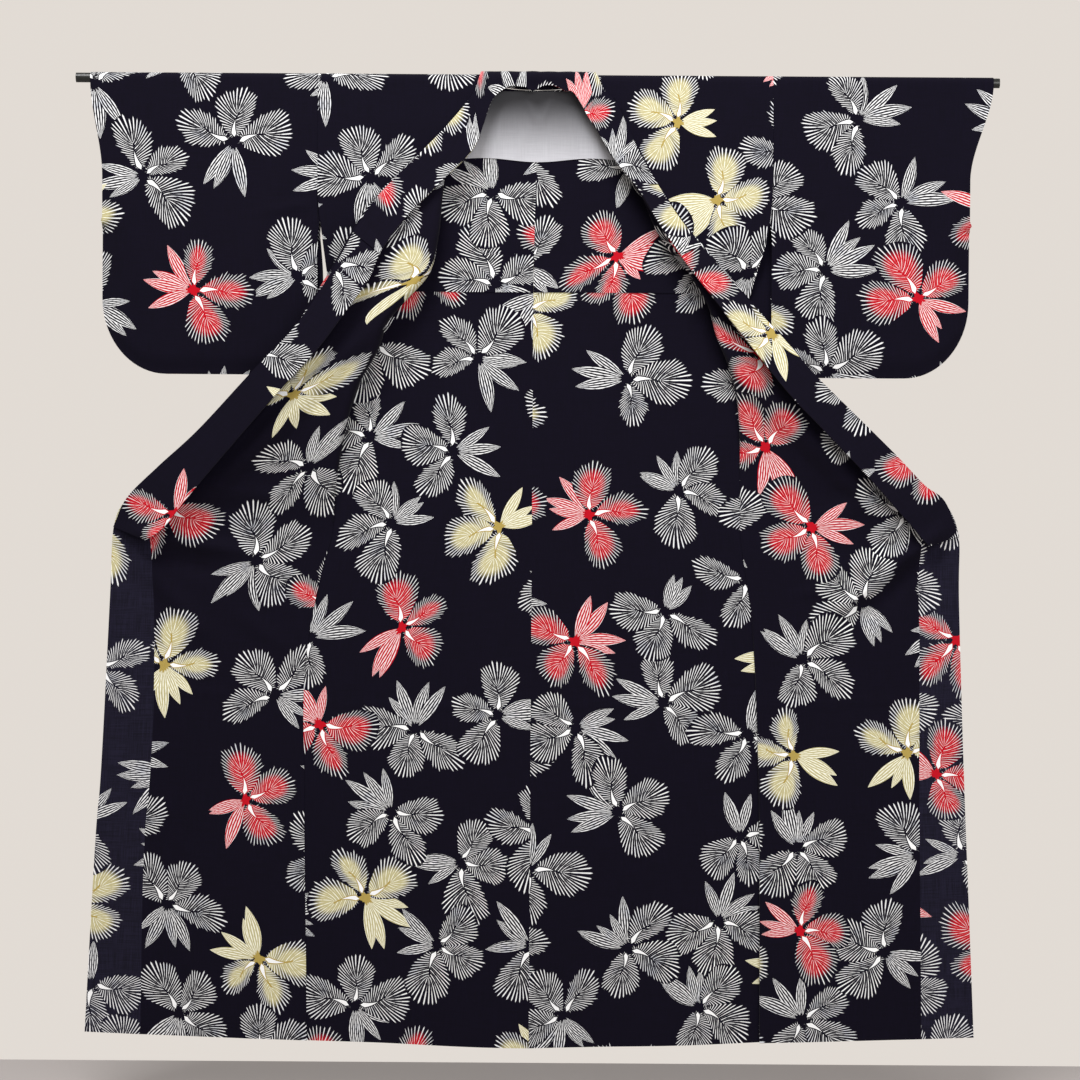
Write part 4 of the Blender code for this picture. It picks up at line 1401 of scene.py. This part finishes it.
@dataclass(frozen=True)
class PrintedCotton(WovenCotton):
    """Navy cotton printed with blossoms in white, red and cream."""

    ink: Colour = (0.93, 0.94, 0.95, 1.0)
    grey_ink: Colour = (0.50, 0.54, 0.64, 1.0)
    red: Colour = (0.50, 0.004, 0.014, 1.0)
    pink_ink: Colour = (0.92, 0.79, 0.80, 1.0)
    cream: Colour = (0.52, 0.47, 0.25, 1.0)
    cream_ink: Colour = (0.92, 0.92, 0.78, 1.0)
    heart: Colour = (0.42, 0.31, 0.08, 1.0)
    # How much the slubs lighten the ground: uneven yarn tone, and painted light shining through
    # the weave
    slub_tone_and_painted_backlight: float = 0.35
    lighter: float = 2.0
    light_slubs: tuple[float, float] = (0.8, 1.2)
    patch_size: float = 26.0
    patch_greys: tuple[float, float] = (0.52, 0.75)
    patch_share: float = 0.6

    def make(self, strokes: PetalStrokes) -> bpy.types.Material:
        """Builds the material.

        Args:
            strokes: The group that draws one petal.

        Returns:
            The material.
        """
        material, desk, shader = self.start()
        height, slub = self.weave(desk)
        sums = dict.fromkeys(("Stroke", "Wedge", "Red", "Cream", "Heart"), 0.0)
        for layer in reversed(range(PETAL_LAYERS)):
            petal = desk.add("ShaderNodeGroup")
            petal.node_tree = strokes.group
            fill(petal.inputs["Place"], desk.uv(f"petal_{layer}"))
            under = 1.0 - Signal(petal.outputs["Cover"])
            for name, below in sums.items():
                sums[name] = under.scaled(below, petal.outputs[name])
        # Lighter ground at the slubs: yarn tone, and painted light that shines through the cloth
        shade = slub.smooth(*self.light_slubs) * self.slub_tone_and_painted_backlight
        lighter = tuple(self.lighter * part for part in self.ground[:3]) + (1.0,)
        ground = desk.blend(shade, self.ground, lighter)
        ground = desk.blend(sums["Red"], ground, self.red)
        cream = desk.blend(sums["Heart"], self.cream, self.heart)
        ground = desk.blend(sums["Cream"], ground, cream)
        patches = desk.noise(desk.uv("cloth"), (self.patch_size,) * 3)
        grey = patches.smooth(*self.patch_greys) * self.patch_share
        white = desk.blend(grey, self.ink, self.grey_ink)
        for name, ink in (("Red", self.pink_ink), ("Cream", self.cream_ink), ("Wedge", self.ink)):
            white = desk.blend(sums[name], white, ink)
        inked = sums["Stroke"].most(sums["Wedge"])
        fill(shader.inputs["Base Color"], desk.blend(inked, ground, white))
        self.finish(desk, shader, height)
        return material


@dataclass(frozen=True)
class PlainCotton(WovenCotton):
    """Plain white lining cotton, with shade painted into its colour towards the neck."""

    # Painted shade: the colour at the lining's top, where the collar and rod shade it
    painted_shade: Colour = (0.062, 0.062, 0.068, 1.0)
    painted_shade_reach: tuple[float, float] = (0.028, 0.138)
    darker: float = 0.86
    dark_slubs: tuple[float, float] = (0.6, 1.4)

    def make(self) -> bpy.types.Material:
        """Builds the material."""
        material, desk, shader = self.start()
        height, slub = self.weave(desk)
        darker = tuple(self.darker * part for part in self.ground[:3]) + (1.0,)
        cloth = desk.blend(slub.smooth(*self.dark_slubs), darker, self.ground)
        # Painted shade: the lining darkens from its lower part up to the neck
        lower = desk.parts(desk.uv("cloth"))[1].smooth(*self.painted_shade_reach)
        fill(shader.inputs["Base Color"], desk.blend(lower, self.painted_shade, cloth))
        self.finish(desk, shader, height)
        return material


@dataclass(frozen=True)
class DarkLacquer:
    """The rod's thin dark lacquer."""

    colour: Colour = (0.012, 0.013, 0.012, 1.0)
    worn: Colour = (0.035, 0.036, 0.034, 1.0)
    streaks: tuple[float, float, float] = (30.0, 900.0, 900.0)
    wear: tuple[float, float] = (0.55, 0.8)
    roughness: float = 0.18
    roughness_spread: float = 0.25

    def make(self) -> bpy.types.Material:
        """Builds the material."""
        material = bpy.data.materials.new("dark_lacquer")
        material.use_nodes = True
        desk = NodeDesk(material.node_tree)
        shader = material.node_tree.nodes["Principled BSDF"]
        noise = desk.noise(desk.add("ShaderNodeTexCoord").outputs["Object"], self.streaks)
        worn = desk.blend(noise.smooth(*self.wear), self.colour, self.worn)
        fill(shader.inputs["Base Color"], worn)
        fill(shader.inputs["Roughness"], noise.scaled(self.roughness_spread, self.roughness))
        return material


@dataclass
class ClothPiece:
    """A piece of cloth: its sheet, its thickness, its cut and the solids that it stands for."""

    name: str
    sheet: Sheet
    thickness: float
    cut: tuple[float, float]
    nodes: tuple[str, ...]
    material: bpy.types.Material
    seed: int | None = None
    torn_over: float = 0.05
    smooth_angle: float = math.radians(50)

    def build(self, blossoms: BlossomPrint) -> bpy.types.Object:
        """Makes the piece's shell, lays its print and hangs it on the body.

        Args:
            blossoms: The print's scatter.

        Returns:
            The finished piece.
        """
        rows, columns = self.sheet.points.shape[:2]
        bpy.ops.object.select_all(action="DESELECT")
        bpy.ops.mesh.primitive_grid_add(
            x_subdivisions=columns - 1, y_subdivisions=rows - 1, size=1.0, location=(0, 0, 0)
        )
        piece = bpy.context.object
        piece.name = self.name
        piece.data.name = self.name
        mesh = piece.data
        grid = np.empty(len(mesh.vertices) * 3)
        mesh.vertices.foreach_get("co", grid)
        grid = grid.reshape(-1, 3)
        column = np.rint((grid[:, 0] + 0.5) * (columns - 1)).astype(int)
        row = np.rint((grid[:, 1] + 0.5) * (rows - 1)).astype(int)
        mesh.vertices.foreach_set("co", self.sheet.points[row, column].ravel())
        self.lay_print(mesh, self.sheet.flat[row, column], blossoms)
        mesh.update()
        wall = piece.modifiers.new("Wall", "SOLIDIFY")
        wall.thickness = self.thickness
        wall.offset = 0.0
        wall.use_even_offset = True
        bpy.ops.object.modifier_apply(modifier=wall.name)
        bpy.ops.object.shade_smooth_by_angle(angle=self.smooth_angle)
        mesh.materials.clear()
        mesh.materials.append(self.material)
        self.hang(piece)
        log.info("%s: %d faces", self.name, len(mesh.polygons))
        return piece

    def lay_print(
        self, mesh: bpy.types.Mesh, flat: np.ndarray, blossoms: BlossomPrint
    ) -> None:
        """Writes the flat cloth and the petals near each face as UV maps."""
        for old in list(mesh.uv_layers):
            mesh.uv_layers.remove(old)
        corner_vertices = np.empty(len(mesh.loops), int)
        mesh.loops.foreach_get("vertex_index", corner_vertices)
        corners = flat[corner_vertices]
        cloth = mesh.uv_layers.new(name="cloth")
        cloth.data.foreach_set("uv", corners.astype(np.float32).ravel())
        if self.seed is None:
            return
        extent = np.array([flat.min(axis=0), flat.max(axis=0)])
        if self.seed in LOOM_SEEDS.values():
            extent = np.array(LOOM_EXTENT)
        petals = blossoms.petals(extent, self.seed)
        painted = blossoms.paint(self.unbroken(corners.reshape(-1, 4, 2)), petals)
        for index, layer in enumerate(painted):
            uv = mesh.uv_layers.new(name=f"petal_{index}")
            uv.data.foreach_set("uv", layer.astype(np.float32).ravel())

    def unbroken(self, corners: np.ndarray) -> np.ndarray:
        """Lets the faces at a tuck's fold take the print of their upper edge."""
        along = corners[:, :, 1]
        top = along.max(axis=1, keepdims=True)
        lower = along < top - self.torn_over
        corners[:, :, 1] = np.where(lower, top - RobeSizes.spacing, along)
        return corners

    def hang(self, piece: bpy.types.Object) -> None:
        """Says what the piece rides on and what it replaces."""
        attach(piece, "root")
        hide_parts(*self.nodes)
        area = min(self.sheet.flat_area(), self.cut[0] * self.cut[1])


@dataclass
class Robe:
    """The whole robe: every cut piece in its cloth."""

    sizes: RobeSizes = field(default_factory=RobeSizes)
    blossoms: BlossomPrint = field(default_factory=BlossomPrint)

    def pieces(self) -> list[ClothPiece]:
        """Every piece of cloth of the robe.

        Returns:
            The pieces, from the back to the collar.
        """
        form = RobeForm(self.sizes)
        strokes = PetalStrokes()
        navy = PrintedCotton("navy_cotton", (0.0022, 0.0013, 0.0064, 1.0)).make(strokes)
        # Painted light: the single-layer cloth's lighter ground and stronger slubs stand for light
        # shining through it from behind
        thin = PrintedCotton(
            "navy_cotton_single", (0.0062, 0.0054, 0.0130, 1.0), slub_tone_and_painted_backlight=1.0
        ).make(strokes)
        white = PlainCotton("white_cotton", (0.57, 0.57, 0.61, 1.0)).make()
        thick = self.sizes.cloth
        found = []
        for side in Side:
            seed = LOOM_SEEDS[side]
            word = side.word
            found += [
                ClothPiece(
                    f"robe_back_{word}", form.back(side).creased(Panel.BACK), thick,
                    (0.36, 1.65), (f"back_{word}",), navy, seed,
                ),
                ClothPiece(
                    f"robe_front_{word}", form.front(side).creased(Panel.FRONT), thick,
                    (0.35, 1.53), (f"front_{word}",), navy, seed,
                ),
                ClothPiece(
                    f"robe_okumi_{word}", form.okumi(side).creased(Panel.FRONT), thick,
                    (0.086, 1.12), (f"okumi_{word}",), thin, seed + 1,
                ),
                ClothPiece(
                    f"robe_sleeve_{word}", form.sleeve(side).creased(Panel.SLEEVE), thick,
                    (0.345, 0.95), (f"sleeve_{word}_front", f"sleeve_{word}_back"), navy, seed + 2,
                ),
                ClothPiece(
                    f"robe_waist_tuck_{word}", form.tuck(side), thick,
                    (0.285, 0.06), (f"waist_tuck_{word}",), navy, seed,
                ),
            ]
        found += [
            ClothPiece(
                "robe_collar", form.collar().creased(Panel.FRONT), self.sizes.collar_cloth,
                (0.065, 1.96), ("collar",), navy, COLLAR_SEED,
            ),
            ClothPiece(
                "robe_over_collar", form.over_collar().creased(Panel.FRONT), thick,
                (0.065, 0.85), ("over_collar",), navy, OVER_COLLAR_SEED,
            ),
            ClothPiece(
                "robe_shoulder_lining", form.lining().creased(Panel.LINING), thick,
                (0.31, 0.11), ("shoulder_lining",), white,
            ),
        ]
        return found

    def build(self) -> None:
        """Builds every piece."""
        for piece in self.pieces():
            piece.build(self.blossoms)


@dataclass
class Rod:
    """The hanging rod, which keeps its solid and gets its lacquer."""

    node: str = "hanging_rod"
    finish: DarkLacquer = field(default_factory=DarkLacquer)

    def dress(self) -> None:
        """Gives the rod's solid its finish."""
        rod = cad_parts[self.node]
        rod.data.materials.clear()
        rod.data.materials.append(self.finish.make())
        log.info("%s: dressed", self.node)


class Lamp(NamedTuple):
    """A square lamp that points at the robe's middle."""

    name: str
    place: tuple[float, float, float]
    size: float
    power: float


@dataclass
class Studio:
    """The plain floor, the soft lights and the camera."""

    view_centre: tuple[float, float] = (0.008, -0.717)
    view_width: float = 1.685
    distance: float = 4.0
    roll: float = -0.37
    sensor: float = 36.0
    floor_drop: float = 1.594
    floor_middle: float = -0.9
    floor_size: tuple[float, float] = (3.4, 2.4)
    floor_colour: Colour = (0.36, 0.33, 0.32, 1.0)
    floor_roughness: float = 0.8
    surround: Colour = (0.76, 0.71, 0.66, 1.0)
    surround_strength: float = 0.5
    lamp_target: tuple[float, float, float] = (0.0, 0.0, -0.7)
    lamps: tuple[Lamp, ...] = (
        Lamp("key_lamp", (-0.7, -2.1, 2.6), 1.6, 138.0),
        Lamp("fill_lamp", (1.2, -3.2, 0.2), 1.8, 54.0),
        Lamp("back_lamp", (0.0, 2.8, 1.4), 2.0, 70.0),
    )

    def floor(self) -> None:
        """A plain pale floor under the robe."""
        bpy.ops.object.select_all(action="DESELECT")
        middle = (0, self.floor_middle, -self.floor_drop)
        bpy.ops.mesh.primitive_plane_add(size=1.0, location=middle)
        floor = bpy.context.object
        floor.name = "floor"
        floor.scale = (*self.floor_size, 1)
        bpy.ops.object.transform_apply(location=False, rotation=False, scale=True)
        material = bpy.data.materials.new("pale_floor")
        material.use_nodes = True
        shader = material.node_tree.nodes["Principled BSDF"]
        shader.inputs["Base Color"].default_value = self.floor_colour
        shader.inputs["Roughness"].default_value = self.floor_roughness
        floor.data.materials.append(material)

    def lights(self) -> None:
        """Large soft lamps and a pale surround."""
        world = bpy.data.worlds.new("pale_surround")
        bpy.context.scene.world = world
        world.use_nodes = True
        background = world.node_tree.nodes["Background"]
        desk = NodeDesk(world.node_tree)
        seen = Signal(desk.add("ShaderNodeLightPath").outputs["Is Camera Ray"])
        strength = seen.scaled(1 - self.surround_strength, self.surround_strength)
        background.inputs["Color"].default_value = self.surround
        fill(background.inputs["Strength"], strength)
        for lamp in self.lamps:
            data = bpy.data.lights.new(lamp.name, "AREA")
            data.size = lamp.size
            data.energy = lamp.power
            light = bpy.data.objects.new(lamp.name, data)
            bpy.context.collection.objects.link(light)
            light.location = lamp.place
            aim = np.array(self.lamp_target) - np.array(lamp.place)
            light.rotation_euler = (
                math.atan2(math.hypot(aim[0], aim[1]), -aim[2]), 0.0,
                math.atan2(aim[1], aim[0]) - math.pi / 2,
            )

    def camera(self) -> None:
        """A level camera in front of the robe."""
        data = bpy.data.cameras.new("camera")
        data.sensor_width = self.sensor
        data.lens = self.sensor * self.distance / self.view_width
        camera = bpy.data.objects.new("camera", data)
        bpy.context.collection.objects.link(camera)
        camera.location = (self.view_centre[0], -self.distance, self.view_centre[1])
        camera.rotation_euler = (math.pi / 2, math.radians(self.roll), 0)
        bpy.context.scene.camera = camera

    def build(self) -> None:
        """Sets up the floor, the lights and the camera."""
        self.floor()
        self.lights()
        self.camera()
        bpy.context.scene.view_settings.view_transform = "Standard"


def main() -> None:
    """Builds the robe, dresses the rod and sets up the studio."""
    logging.basicConfig(level=logging.INFO, format="%(name)s: %(message)s")
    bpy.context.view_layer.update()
    Studio().build()
    Robe().build()
    Rod().dress()


if __name__ == "__main__":
    main()
